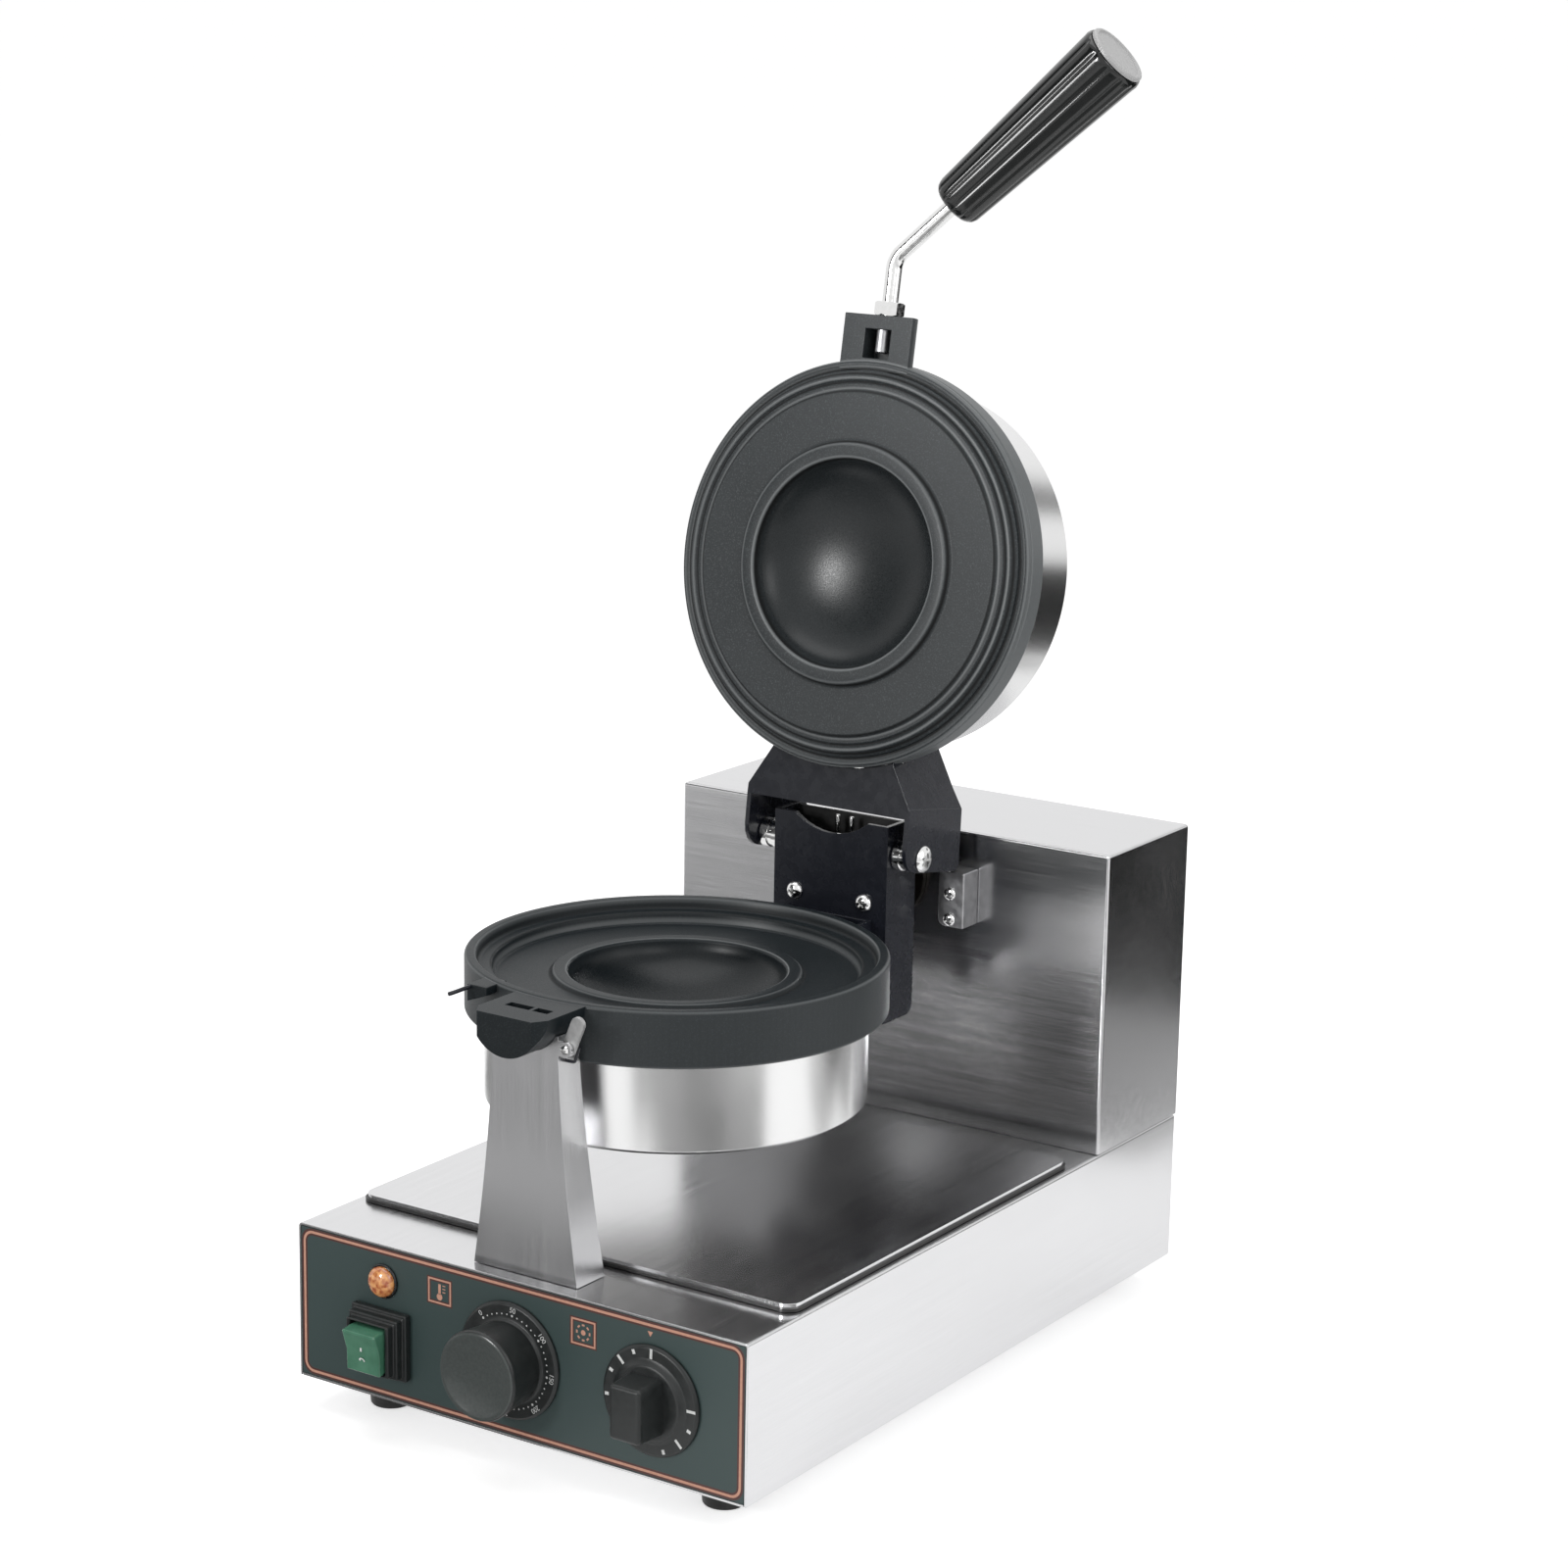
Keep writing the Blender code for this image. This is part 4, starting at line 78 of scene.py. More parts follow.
class Finish:
    """A material for one kind of surface, with the record's slot that it stands for."""

    def __init__(self, name, slot, **fixed):
        self.material = bpy.data.materials.new(name)
        self.material.use_nodes = True
        self.tree = self.material.node_tree
        self.shader = self.tree.nodes["Principled BSDF"]
        self.slot = slot
        for socket, value in fixed.items():
            self.set(socket.replace("_", " "), value)

    def set(self, socket, value):
        """Gives a socket of the shader a number, a colour or another socket."""
        target = self.shader.inputs[socket]
        if isinstance(value, Tone):
            self.tree.links.new(value.socket, target)
        else:
            target.default_value = (*value, 1) if isinstance(value, tuple) else value

    def node(self, kind, settings=None, sockets=None, out=0):
        """Adds a shader node, and gives one of its outputs."""
        made = self.tree.nodes.new(kind)
        for setting, value in (settings or {}).items():
            setattr(made, setting, value)
        for socket, value in (sockets or {}).items():
            target = made.inputs[socket]
            if isinstance(value, Tone):
                self.tree.links.new(value.socket, target)
            else:
                target.default_value = value
        return Tone(self, made.outputs[out])

    def place(self, stretch=(1, 1, 1), turn=(0, 0, 0)):
        """Where a point lies on the object, stretched or turned for a pattern."""
        spot = self.node("ShaderNodeTexCoord", out="Object")
        return self.node("ShaderNodeMapping", sockets={"Vector": spot, "Scale": stretch, "Rotation": turn})

    def noise(self, place, scale, detail=2.0, roughness=0.5):
        sockets = {"Vector": place, "Scale": scale, "Detail": detail, "Roughness": roughness}
        return self.node("ShaderNodeTexNoise", sockets=sockets)

    def span(self, value, low, high, start=0.0, end=1.0):
        """Carries a value that runs from start to end over to low to high."""
        sockets = {0: value, 1: start, 2: end, 3: low, 4: high}
        return self.node("ShaderNodeMapRange", {"clamp": True}, sockets)

    def between(self, share, first, second):
        """A colour between two, by a share. Each is fixed, or comes from a socket."""
        first, second = (
            colour if isinstance(colour, Tone) else (*colour, 1) for colour in (first, second)
        )
        return self.node("ShaderNodeMix", {"data_type": "RGBA"}, {0: share, 6: first, 7: second}, out=2)

    def relief(self, height, depth):
        """Bumps as deep as depth, in metres."""
        sockets = {"Strength": 1.0, "Distance": depth, "Height": height}
        self.set("Normal", self.node("ShaderNodeBump", sockets=sockets))


def brushed(name, slot, colour, lines, grain=0.0000015):
    """Brushed steel: fine lines along the grain, and a soft cloudiness where it has been wiped."""
    made = Finish(name, slot, Metallic=1.0)
    fine = made.noise(made.place(lines), 1500, 3.0, 0.6)
    coarse = made.noise(made.place(lines), 300, 2.0)
    cloud = made.noise(made.place(), 14, 3.0)
    tone = 0.6 * fine + 0.4 * coarse
    dark = tuple(0.95 * part for part in colour)
    made.set("Base Color", made.between(made.span(tone, 0.0, 1.0, 0.35, 0.65), dark, colour))
    made.set("Roughness", made.span(tone, 0.17, 0.25, 0.3, 0.7) + made.span(cloud, -0.02, 0.03, 0.3, 0.7))
    made.relief(tone, grain)
    return made


along_y = (1.0, 0.02, 1.0)
along_x = (0.02, 1.0, 1.0)
sheet_steel = brushed("sheet_steel", "stainless", (0.74, 0.74, 0.75), along_y)
cross_steel = brushed("cross_steel", "stainless", (0.70, 0.70, 0.71), along_x)


def meshed(name, shape):
    """A shape as mesh data. The shape itself is used up."""
    mesh = bpy.data.meshes.new(name)
    shape.to_mesh(mesh)
    shape.free()
    return mesh


def linked(name, data):
    """A new object in the scene, at the origin."""
    made = bpy.data.objects.new(name, data)
    bpy.context.scene.collection.objects.link(made)
    return made


def piece(name, shape, finish, body, stands_for=None, place=None, crease=0.6):
    """Puts a finished shape in the scene: placed, shaded, riding on its body, in its finish."""
    if place:
        shape.transform(place)
    for face in shape.faces:
        face.smooth = True
    for edge in shape.edges:
        edge.smooth = edge.is_manifold and edge.calc_face_angle(math.pi) < crease
    made = linked(name, meshed(name, shape))
    made.data.materials.append(finish.material)
    weights = made.modifiers.new("flat faces stay flat", "WEIGHTED_NORMAL")
    weights.keep_sharp = True
    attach(made, body)
    if stands_for:
        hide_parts(stands_for)


def eased(shape, width, steps=2, angle=0.5):
    """Breaks every edge that is sharper than an angle."""
    sharp = [edge for edge in shape.edges if edge.is_manifold and edge.calc_face_angle(0) > angle]
    bmesh.ops.bevel(
        shape, geom=sharp, offset=width, offset_type="OFFSET", affect="EDGES", segments=steps,
        profile=0.5, material=-1, clamp_overlap=True,
    )
    return shape


def dressed(node, finish, body, width, steps=2):
    """A CAD node's own shape in its finish, with flat faces joined and edges broken."""
    shape = bmesh.new()
    shape.from_mesh(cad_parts[node].data)
    bmesh.ops.remove_doubles(shape, verts=shape.verts, dist=0.000002)
    bmesh.ops.dissolve_limit(
        shape, angle_limit=0.01, verts=shape.verts, edges=shape.edges, use_dissolve_boundaries=False
    )
    piece(f"{node}_skin", eased(shape, width, steps), finish, body, node)


dressed("base_shell", sheet_steel, "base", 0.00025)
dressed("base_floor", cross_steel, "base", 0.0002)

# Feet: four round rubber feet, moulded with a shallow ring and screwed through the floor.
# Their rubber is smooth black, a little dusty.

mm = 0.001


def lathe(profile, steps=96):
    """A turned solid round Z, from its half section in millimetres as (radius, height)."""
    shape = bmesh.new()
    points = [shape.verts.new((radius * mm, 0, height * mm)) for radius, height in profile]
    pairs = list(zip(points, points[1:]))
    if profile[0][0] > 0:
        pairs.append((points[-1], points[0]))
    line = [shape.edges.new(pair) for pair in pairs]
    bmesh.ops.spin(
        shape, geom=points + line, cent=(0, 0, 0), axis=(0, 0, 1), dvec=(0, 0, 0), angle=2 * math.pi,
        steps=steps, use_merge=True, use_normal_flip=False, use_duplicate=False,
    )
    bmesh.ops.remove_doubles(shape, verts=shape.verts, dist=0.0000001)
    bmesh.ops.dissolve_degenerate(shape, dist=0.0000001, edges=shape.edges)
    bmesh.ops.recalc_face_normals(shape, faces=shape.faces)
    return shape


def at(x, y, z):
    return Matrix.Translation((x, y, z))


def mottled(name, slot, grain, deep, pale, rough, bumps=None, **fixed):
    """A finish whose colour and gloss vary together, in a noise of this scale and detail."""
    made = Finish(name, slot, **fixed)
    spots = made.noise(made.place(), *grain)
    made.set("Base Color", made.between(spots, deep, pale))
    made.set("Roughness", made.span(spots, *rough) if isinstance(rough, tuple) else rough)
    if bumps:
        scale, depth = bumps
        made.relief(made.noise(made.place(), scale), depth)
    return made


rubber = mottled(
    "foot_rubber", "rubber", (300, 3.0), (0.010, 0.010, 0.011), (0.030, 0.029, 0.028), (0.32, 0.45),
    (1800, 0.00001), Specular_IOR_Level=0.4,
)

foot_profile = [
    (0, 15.7), (11.5, 15.7), (11.5, 12.6), (11.0, 12.2), (11.2, 11.6), (10.2, 0.9), (9.6, 0),
    (5.6, 0), (5, 0.7), (5, 6), (0, 6),
]
for foot in ("foot_front_left", "foot_front_right", "foot_back_left", "foot_back_right"):
    low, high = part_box(foot)
    middle = (low + high) / 2
    shape = eased(lathe(foot_profile, 48), 0.0004)
    piece(f"{foot}_rubber", shape, rubber, "base", foot, at(middle.x, middle.y, 0))

# Drip plate: a shallow stainless tray, turned upside down and tacked to the base's top.
# Its corners are rounded and its edge is bright where it has been bent.

dressed("top_deck", sheet_steel, "base", 0.0006, 3)
deck_low, deck_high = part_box("top_deck")

# Tower: the folded stainless housing of the shaft's bearings, with a slotted cover behind.
# The grain runs across the front, and the folds are bright.

dressed("tower_shell", cross_steel, "base", 0.00025)
dressed("tower_back", cross_steel, "base", 0.0002)

# Stop block: a bent steel block that carries the open lid's ear, held by two cross-head screws.
# The screws are bright zinc, with domed heads.

plain_steel = mottled(
    "plain_steel", "steel", (220, 4.0), (0.30, 0.30, 0.31), (0.50, 0.50, 0.51), (0.30, 0.46, 0.3, 0.7),
    (900, 0.00001), Metallic=1.0,
)
dressed("stop_block", plain_steel, "base", 0.0008, 3)

bright_plate = mottled(
    "bright_plate", "chrome", (500, 3.0), (0.72, 0.72, 0.71), (0.84, 0.84, 0.84), (0.08, 0.20, 0.3, 0.7),
    Metallic=1.0,
)

to_front = Matrix.Rotation(math.pi / 2, 4, "X")
to_back = Matrix.Rotation(-math.pi / 2, 4, "X")
to_right = Matrix.Rotation(math.pi / 2, 4, "Y")
to_left = Matrix.Rotation(-math.pi / 2, 4, "Y")


def box_shape(low, high):
    """A block between two corners, in millimetres."""
    low, high = Vector(low) * mm, Vector(high) * mm
    size = Matrix.Diagonal((*(high - low), 1))
    shape = bmesh.new()
    bmesh.ops.create_cube(shape, size=1, matrix=Matrix.Translation((low + high) / 2) @ size)
    return shape


def evaluated(holder):
    """The shape that an object has after its modifiers."""
    bpy.context.view_layer.update()
    done = holder.evaluated_get(bpy.context.evaluated_depsgraph_get())
    shape = bmesh.new()
    shape.from_mesh(done.to_mesh())
    done.to_mesh_clear()
    return shape


def carved(shape, tool, operation="DIFFERENCE"):
    """Cuts one closed shape out of another, or keeps what the two share."""
    work, knife = [linked("work", meshed("work", form)) for form in (shape, tool)]
    step = work.modifiers.new("carve", "BOOLEAN")
    step.operation = operation
    step.solver = "EXACT"
    step.object = knife
    result = evaluated(work)
    for holder in (work, knife):
        mesh = holder.data
        bpy.data.objects.remove(holder)
        bpy.data.meshes.remove(mesh)
    bmesh.ops.remove_doubles(result, verts=result.verts, dist=0.0000005)
    return result


def cross_screw(radius, height, shank, reach):
    """A domed cross-head screw that stands on Z = 0, with its shank below, in mm."""
    seat = 0.3
    profile = [
        (0, height), (radius * 0.35, height * 0.98), (radius * 0.65, height * 0.86),
        (radius * 0.88, height * 0.60), (radius, height * 0.25), (radius, seat), (shank, seat),
        (shank, -reach), (0, -reach),
    ]
    shape = lathe(profile, 40)
    arm, half, floor = radius * 0.52, radius * 0.10, height * 0.45
    for x, y in ((arm, half), (half, arm)):
        shape = carved(shape, box_shape((-x, -y, floor), (x, y, height + 1)))
    return shape


stop_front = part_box("stop_block")[0].y
for number, z in ((1, 0.2205), (2, 0.207)):
    place = at(0.0470, stop_front, z) @ to_front @ Matrix.Rotation(0.6, 4, "Z")
    piece(f"stop_screw_{number}", cross_screw(3.5, 1.9, 1.8, 3), bright_plate, "base", place=place)

# Front stand: one folded stainless blank, flared to the foot, that cradles the journal.
# Its grain runs up the web, and its flanges are folded back.

along_z = (1.0, 1.0, 0.02)
stand_steel = brushed("stand_steel", "stainless", (0.72, 0.72, 0.73), along_z)
dressed("front_stand", stand_steel, "base", 0.0004, 2)

# Catch: a stamped steel tongue on a rivet at the stand's top, held back by a black wire spring.
# It keeps the closed head from turning by itself.

catch_steel = mottled(
    "catch_steel", "steel", (420, 3.0), (0.36, 0.36, 0.36), (0.55, 0.55, 0.55), (0.38, 0.5), Metallic=1.0,
)
dressed("head_catch", catch_steel, "catch", 0.0004, 2)
rivet_section = [
    (0, 1.0), (1.3, 0.9), (2.1, 0.55), (2.1, 0.3), (1.2, 0.3), (1.2, -4.1), (2.1, -4.1), (2.1, -4.8),
    (0, -4.8),
]
rivet_place = at(0.0226, -0.186, 0.206) @ to_front
piece("catch_rivet_turned", lathe(rivet_section, 32), bright_plate, "base", "catch_rivet", rivet_place)

black_paint = mottled(
    "black_paint", "black_paint", (160, 2.0), (0.010, 0.011, 0.016), (0.014, 0.016, 0.023),
    (0.24, 0.30, 0.3, 0.7), (160, 0.000001), Specular_IOR_Level=0.3, Coat_Weight=0.15,
)


def wire(name, points, radius, finish, body, stands_for=None, place=None, resolution=6, kind="NURBS"):
    """A round wire or rod through points in metres, made a mesh."""
    curve = bpy.data.curves.new(name, "CURVE")
    curve.dimensions = "3D"
    curve.bevel_depth = radius
    curve.bevel_resolution = resolution
    curve.resolution_u = 10
    curve.use_fill_caps = True
    line = curve.splines.new(kind)
    line.points.add(len(points) - 1)
    for point, spot in zip(line.points, points):
        point.co = (*spot, 1)
    if kind == "NURBS":
        line.order_u = 3
        line.use_endpoint_u = True
    holder = linked(name, curve)
    shape = evaluated(holder)
    bpy.data.objects.remove(holder)
    bmesh.ops.remove_doubles(shape, verts=shape.verts, dist=0.000002)
    bmesh.ops.recalc_face_normals(shape, faces=shape.faces)
    piece(name, shape, finish, body, stands_for, place)


spring_low, spring_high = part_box("catch_spring")
spring_y = (spring_low.y + spring_high.y) / 2
spring_z = spring_low.z + 0.0008
spring_route = [
    (spring_low.x + along, spring_y, spring_z + rise)
    for along, rise in ((0, 0), (0.0030, 0), (0.0040, 0.0003), (0.0045, 0.0018))
]
spring_route.append((spring_high.x - 0.0009, spring_y, spring_high.z - 0.0003))
wire("catch_spring_wire", spring_route, 0.0008, black_paint, "base", "catch_spring")

# Control panel: a dark printed film on the front plate, with a double line round its edge.
# The marks are screen printed in salmon over brown, and each is a thin layer of ink.

panel_film = Finish("panel_film", "panel", Specular_IOR_Level=0.4)
shade = panel_film.noise(panel_film.place(), 9, 2.0)
panel_film.set("Base Color", panel_film.between(shade, (0.036, 0.062, 0.060), (0.054, 0.080, 0.079)))
panel_film.set("Roughness", panel_film.span(panel_film.noise(panel_film.place(), 600), 0.34, 0.44))
dressed("control_panel", panel_film, "base", 0.0002)

ink_salmon = mottled("ink_salmon", "panel", (700, 3.0), (0.50, 0.24, 0.16), (0.68, 0.36, 0.26), 0.5)
ink_brown = mottled("ink_brown", "panel", (700, 3.0), (0.060, 0.018, 0.015), (0.10, 0.030, 0.024), 0.5)

panel_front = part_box("control_panel")[0].y
base_foot = 0.016


def on_panel(x, z, lift=0.0):
    """A place on the panel, from the machine's middle and the base's foot, in mm, and its lift off it."""
    return at(x * mm, panel_front - lift * mm, base_foot + z * mm) @ to_front


def bar(width, height, unit=mm):
    """A flat rectangle round the middle, in mm or in another unit."""
    shape = bmesh.new()
    bmesh.ops.create_grid(shape, x_segments=1, y_segments=1, size=0.5)
    bmesh.ops.scale(shape, vec=(width * unit, height * unit, 1), verts=shape.verts)
    return shape


def strip(width, height, line, corner=0.0):
    """A flat printed frame: the outline of a rounded rectangle, as wide as its line, in mm."""
    shape = bar(width, height)
    if corner:
        bmesh.ops.bevel(
            shape, geom=shape.verts[:], offset=corner * mm, offset_type="OFFSET", affect="VERTICES",
            segments=6, profile=0.5, material=-1, clamp_overlap=True,
        )
    middle = shape.faces[:]
    bmesh.ops.inset_region(
        shape, faces=middle, thickness=line * mm, use_even_offset=True, use_boundary=True
    )
    bmesh.ops.delete(shape, geom=middle, context="FACES")
    return shape


def dot(radius, steps=16):
    """A flat disc, in mm, or a triangle where it has three steps."""
    shape = bmesh.new()
    bmesh.ops.create_circle(shape, cap_ends=True, segments=steps, radius=radius * mm)
    return shape


def merged(shapes):
    """Several shapes as one."""
    whole = bmesh.new()
    for shape in shapes:
        mesh = meshed("part", shape)
        whole.from_mesh(mesh)
        bpy.data.meshes.remove(mesh)
    return whole


def sheet_of(marks):
    """Several flat marks as one layer of ink: each is a shape with its place in mm, and its turn."""
    for shape, x, y, turn in marks:
        shape.transform(at(x * mm, y * mm, 0) @ Matrix.Rotation(turn, 4, "Z"))
    return merged([mark[0] for mark in marks])


def around(shape, radius, angle, turn=0.0):
    """A mark for a sheet, at an angle round the sheet's middle."""
    return shape, radius * math.cos(angle), radius * math.sin(angle), turn


brown_lift, salmon_lift = 0.02, 0.05
piece("border_outline", strip(256.4, 73.9, 3.4, 6.5), ink_brown, "base", place=on_panel(0, 38.9, brown_lift))
piece("border_line", strip(254.2, 71.7, 1.3, 5.6), ink_salmon, "base", place=on_panel(0, 38.9, salmon_lift))

heat_sign = [(strip(13.6, 12.2, 0.9), 0, 0, 0), (bar(1.5, 5.0), 0, 1.2, 0), (dot(1.7), 0, -2.6, 0)]
heat_sign += [(bar(1.7, 0.5), 2.6, level, 0) for level in (0.0, 1.6, 3.2)]
time_sign = [(strip(13.8, 12.6, 0.9), 0, 0, 0), (dot(1.3), 0, 0, 0)]
for step in range(8):
    turn = math.pi * step / 4
    time_sign.append(around(bar(1.5, 0.9), 3.6, turn, turn + math.pi / 2))
signs = (
    ("heat_sign", heat_sign, strip(15.0, 13.6, 2.3), -44, 62),
    ("time_sign", time_sign, strip(15.2, 14.0, 2.3), 39.5, 61.5),
)
for name, marks, ground, x, z in signs:
    piece(f"{name}_ground", ground, ink_brown, "base", place=on_panel(x, z, brown_lift))
    piece(name, sheet_of(marks), ink_salmon, "base", place=on_panel(x, z, salmon_lift))
pointer_place = on_panel(76.9, 70.2, 0.06) @ Matrix.Rotation(math.pi, 4, "Z")
piece("timer_pointer", dot(1.7, 3), ink_salmon, "base", place=pointer_place)

# Deck shadow bead: a low black bead round the drip plate's foot, in the feet's rubber finish.
# It is painted shade: it stands in for the dark shadow gap under the plate's edge.

overhang = 2.0
shadow_bead_width, shadow_bead_depth = (1000 * (deck_high[axis] - deck_low[axis]) + overhang for axis in (0, 1))
shadow_bead = strip(shadow_bead_width, shadow_bead_depth, 1.6, 7.6)
rise = bmesh.ops.extrude_face_region(shadow_bead, geom=shadow_bead.faces[:])["geom"]
raised = [part for part in rise if isinstance(part, bmesh.types.BMVert)]
bmesh.ops.translate(shadow_bead, vec=(0, 0, 0.0014), verts=raised)
bmesh.ops.recalc_face_normals(shadow_bead, faces=shadow_bead.faces)
shadow_bead_place = at((deck_low.x + deck_high.x) / 2, (deck_low.y + deck_high.y) / 2, deck_low.z)
piece("deck_shadow_bead", shadow_bead, rubber, "base", place=shadow_bead_place)

# Pilot lamp: a clear orange lens in a black ring, pushed through the panel from the front.
# Fine ribs inside the lens are a bump, and its coppery glitter is a painted highlight: random bright and dark
# spots in its colour.

gloss_black = mottled(
    "gloss_black", "black_plastic", (400, 2.0), (0.007, 0.007, 0.008), (0.014, 0.014, 0.015),
    (0.20, 0.30, 0.3, 0.7), (1500, 0.000006), Specular_IOR_Level=0.5,
)
lamp_place = on_panel(-77.5, 59.7)
ring_section = [
    (7.7, 1.6), (8.0, 1.6), (8.5, 1.0), (8.5, 0.3), (6.2, 0.3), (6.2, -16), (5.2, -16), (5.2, 1.0),
    (7.7, 1.0),
]
piece("lamp_ring", eased(lathe(ring_section, 48), 0.0002), gloss_black, "base", "lamp_bezel", lamp_place)

orange_lens = Finish("orange_lens", "lamp", Specular_IOR_Level=0.6, Coat_Weight=0.8, Coat_Roughness=0.05)
ribs = orange_lens.noise(orange_lens.place(), 420, 2.0)
# Painted highlight: the glitter is random bright and dark spots in the lens's colour.
painted_glitter = orange_lens.span(ribs, 0.0, 1.0, 0.35, 0.65)
orange_lens.set("Base Color", orange_lens.between(painted_glitter, (0.42, 0.085, 0.020), (0.92, 0.44, 0.16)))
orange_lens.set("Roughness", orange_lens.span(ribs, 0.12, 0.3))
orange_lens.relief(ribs, 0.0003)


def dome(radius, level, height, steps=20):
    """Points of a shallow elliptical bowl, from the axis out to its lip, in mm."""
    turns = [math.pi / 2 * step / steps for step in range(steps + 1)]
    return [(radius * math.sin(turn), level + height * math.cos(turn)) for turn in turns]


lens = lathe(dome(7.5, 1.9, 4.2, 12) + [(7.4, 1.3), (4.9, 1.3), (4.9, -2), (0, -2)], 48)
piece("lamp_dome", lens, orange_lens, "base", "lamp_lens", lamp_place)

# Main switch: a stack of square black collars round a green rocker, clipped through the panel.
# The rocker is clear green plastic with white I and O marks, tipped to one side.

satin_black = mottled(
    "satin_black", "black_plastic", (260, 3.0), (0.009, 0.011, 0.011), (0.020, 0.023, 0.023),
    (0.34, 0.46, 0.3, 0.7), Specular_IOR_Level=0.45,
)
dressed("switch_bezel", satin_black, "base", 0.0004, 2)

clear_green = mottled(
    "clear_green", "rocker", (110, 2.0), (0.036, 0.140, 0.082), (0.10, 0.275, 0.175), (0.16, 0.28),
    Specular_IOR_Level=0.5, Coat_Weight=0.6, Coat_Roughness=0.08,
)
dressed("switch_rocker", clear_green, "rocker", 0.0006, 3)

white_ink = mottled(
    "white_ink", "black_plastic", (900, 2.0), (0.62, 0.63, 0.62), (0.84, 0.85, 0.84), 0.5,
    Specular_IOR_Level=0.3,
)
rocker_pivot = at(-0.0778, -0.2042, 0.046) @ Matrix.Rotation(math.radians(10), 4, "X")
valley, flare, half_height, ink_lift = 6.0, 1.6, 10.6, 0.05
for mark, shape, rise in (("on_mark", bar(1.1, 3.2), 2.4), ("off_mark", strip(3.4, 3.6, 0.8, 1.6), -4.2)):
    slope = math.atan2(flare, half_height) * (-1 if rise > 0 else 1)
    reach = valley + flare * abs(rise) / half_height + ink_lift
    place = rocker_pivot @ at(0, -reach * mm, rise * mm) @ Matrix.Rotation(slope, 4, "X") @ to_front
    piece(mark, shape, white_ink, "rocker", place=place)

# Thermostat knob: a deep round knob on a skirt that carries the printed scale, moulded in black.
# Its flat grey face is bare, and the scale is white dots and plain numbers.

knob_face = mottled(
    "knob_face", "black_plastic", (700, 2.0), (0.050, 0.057, 0.055), (0.075, 0.085, 0.082), (0.20, 0.27),
    Specular_IOR_Level=0.4,
)
dish = [(2.3 * step, 22.6 + 2.9 * (step / 8) ** 2) for step in range(9)]
knob = [(radius, height - 0.15) for radius, height in dish] + [
    (18.9, 25.65), (19.6, 25.8), (20.2, 25.8), (21.3, 25.1), (21.7, 24.0), (19.7, 4.2), (20.6, 2.9),
    (22.0, 2.6), (27.2, 2.6), (28.5, 1.5), (28.5, 0.3), (3, 0.3), (3, -10), (0, -10),
]
knob = eased(lathe(knob, 128), 0.0003, 2, 0.4)
thermo_place = on_panel(-2, 38.5)
piece("thermostat_knob", knob, satin_black, "thermostat", "thermostat_dial", thermo_place)
rim = [
    (18.8, 25.75), (19.55, 25.9), (20.25, 25.9), (20.9, 25.55), (20.8, 25.3), (20.1, 25.7), (19.6, 25.7),
    (18.9, 25.55),
]
underside = [(radius, height - 0.1) for radius, height in dish[::-1]]
piece("thermostat_face", lathe(dish + rim + underside), knob_face, "thermostat", place=thermo_place)


def lettering(text, size, place, name, finish, body):
    """Plain printed figures, as tall as size in metres, centred on their place."""
    curve = bpy.data.curves.new(name, "FONT")
    curve.body = text
    curve.size = size
    curve.align_x = "CENTER"
    curve.align_y = "CENTER"
    curve.space_character = 0.95
    curve.resolution_u = 3
    holder = linked(name, curve)
    shape = evaluated(holder)
    bpy.data.objects.remove(holder)
    piece(name, shape, finish, body, place=place)


print_level = 0.00263
first_turn, sweep, gaps = 128, 268, 36
scale_turns = [math.radians(first_turn - sweep * step / gaps) for step in range(gaps + 1)]
dots = [around(dot(0.42 if step % 6 else 0.62, 8), 22.9, turn) for step, turn in enumerate(scale_turns)]
scale_place = thermo_place @ at(0, 0, print_level)
piece("thermostat_scale", sheet_of(dots), white_ink, "thermostat", place=scale_place)
for step, turn in enumerate(scale_turns[::6]):
    spot = thermo_place @ Matrix.Rotation(turn - math.pi / 2, 4, "Z") @ at(0, 0.02545, print_level)
    lettering(str(50 * step), 0.0036, spot, f"thermostat_figure_{step}", white_ink, "thermostat")

# Timer knob: a flat skirt with white ticks and a bar grip across a low hub, moulded in black.
# The grip narrows a little towards its top, so that it leaves the mould.

timer_place = on_panel(78.4, 38.7)
hub = [
    (0, 5.2), (16.6, 5.2), (17.8, 4.9), (19, 3.4), (20.4, 2.6), (25.2, 2.6), (26.5, 1.4), (26.5, 0.3),
    (3, 0.3), (3, -10), (0, -10),
]
grip_bar = box_shape((-9.5, -13.5, 2.7), (9.5, 13.5, 22))
for vertex in grip_bar.verts:
    if vertex.co.z > 0.01:
        vertex.co.x *= 0.88
        vertex.co.y *= 0.97
timer_shape = merged([eased(lathe(hub, 128), 0.0004, 2, 0.4), eased(grip_bar, 0.0020, 4)])
piece("timer_knob", timer_shape, satin_black, "timer", "timer_dial", timer_place)
tick_turns = (
    (88, True), (112, False), (134, True), (154, False), (184, False), (2, True), (-22, False), (-45, True),
    (-70, False),
)
ticks = []
for degrees, long in tick_turns:
    length, width, middle = (5.6, 1.4, 22.6) if long else (2.2, 1.6, 23.6)
    turn = math.radians(degrees)
    ticks.append(around(bar(length, width), middle, turn, turn))
piece("timer_scale", sheet_of(ticks), white_ink, "timer", place=timer_place @ at(0, 0, print_level))

# Behind the panel and at the back: control bodies, the terminal block and the mains lead's gland.
# These are stock electrical parts in bakelite, nylon and black plastic.


def plain(name, slot, colour, rough, metal=0.0):
    """A simple moulded or cast finish with a slight unevenness."""
    shaded = tuple(0.8 * part for part in colour)
    return mottled(name, slot, (300, 3.0), shaded, colour, (rough - 0.05, rough + 0.07), Metallic=metal)


def finished(finish, *nodes):
    """Gives its finish to CAD nodes that keep their own shape."""
    for node in nodes:
        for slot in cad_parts[node].material_slots:
            slot.material = finish.material


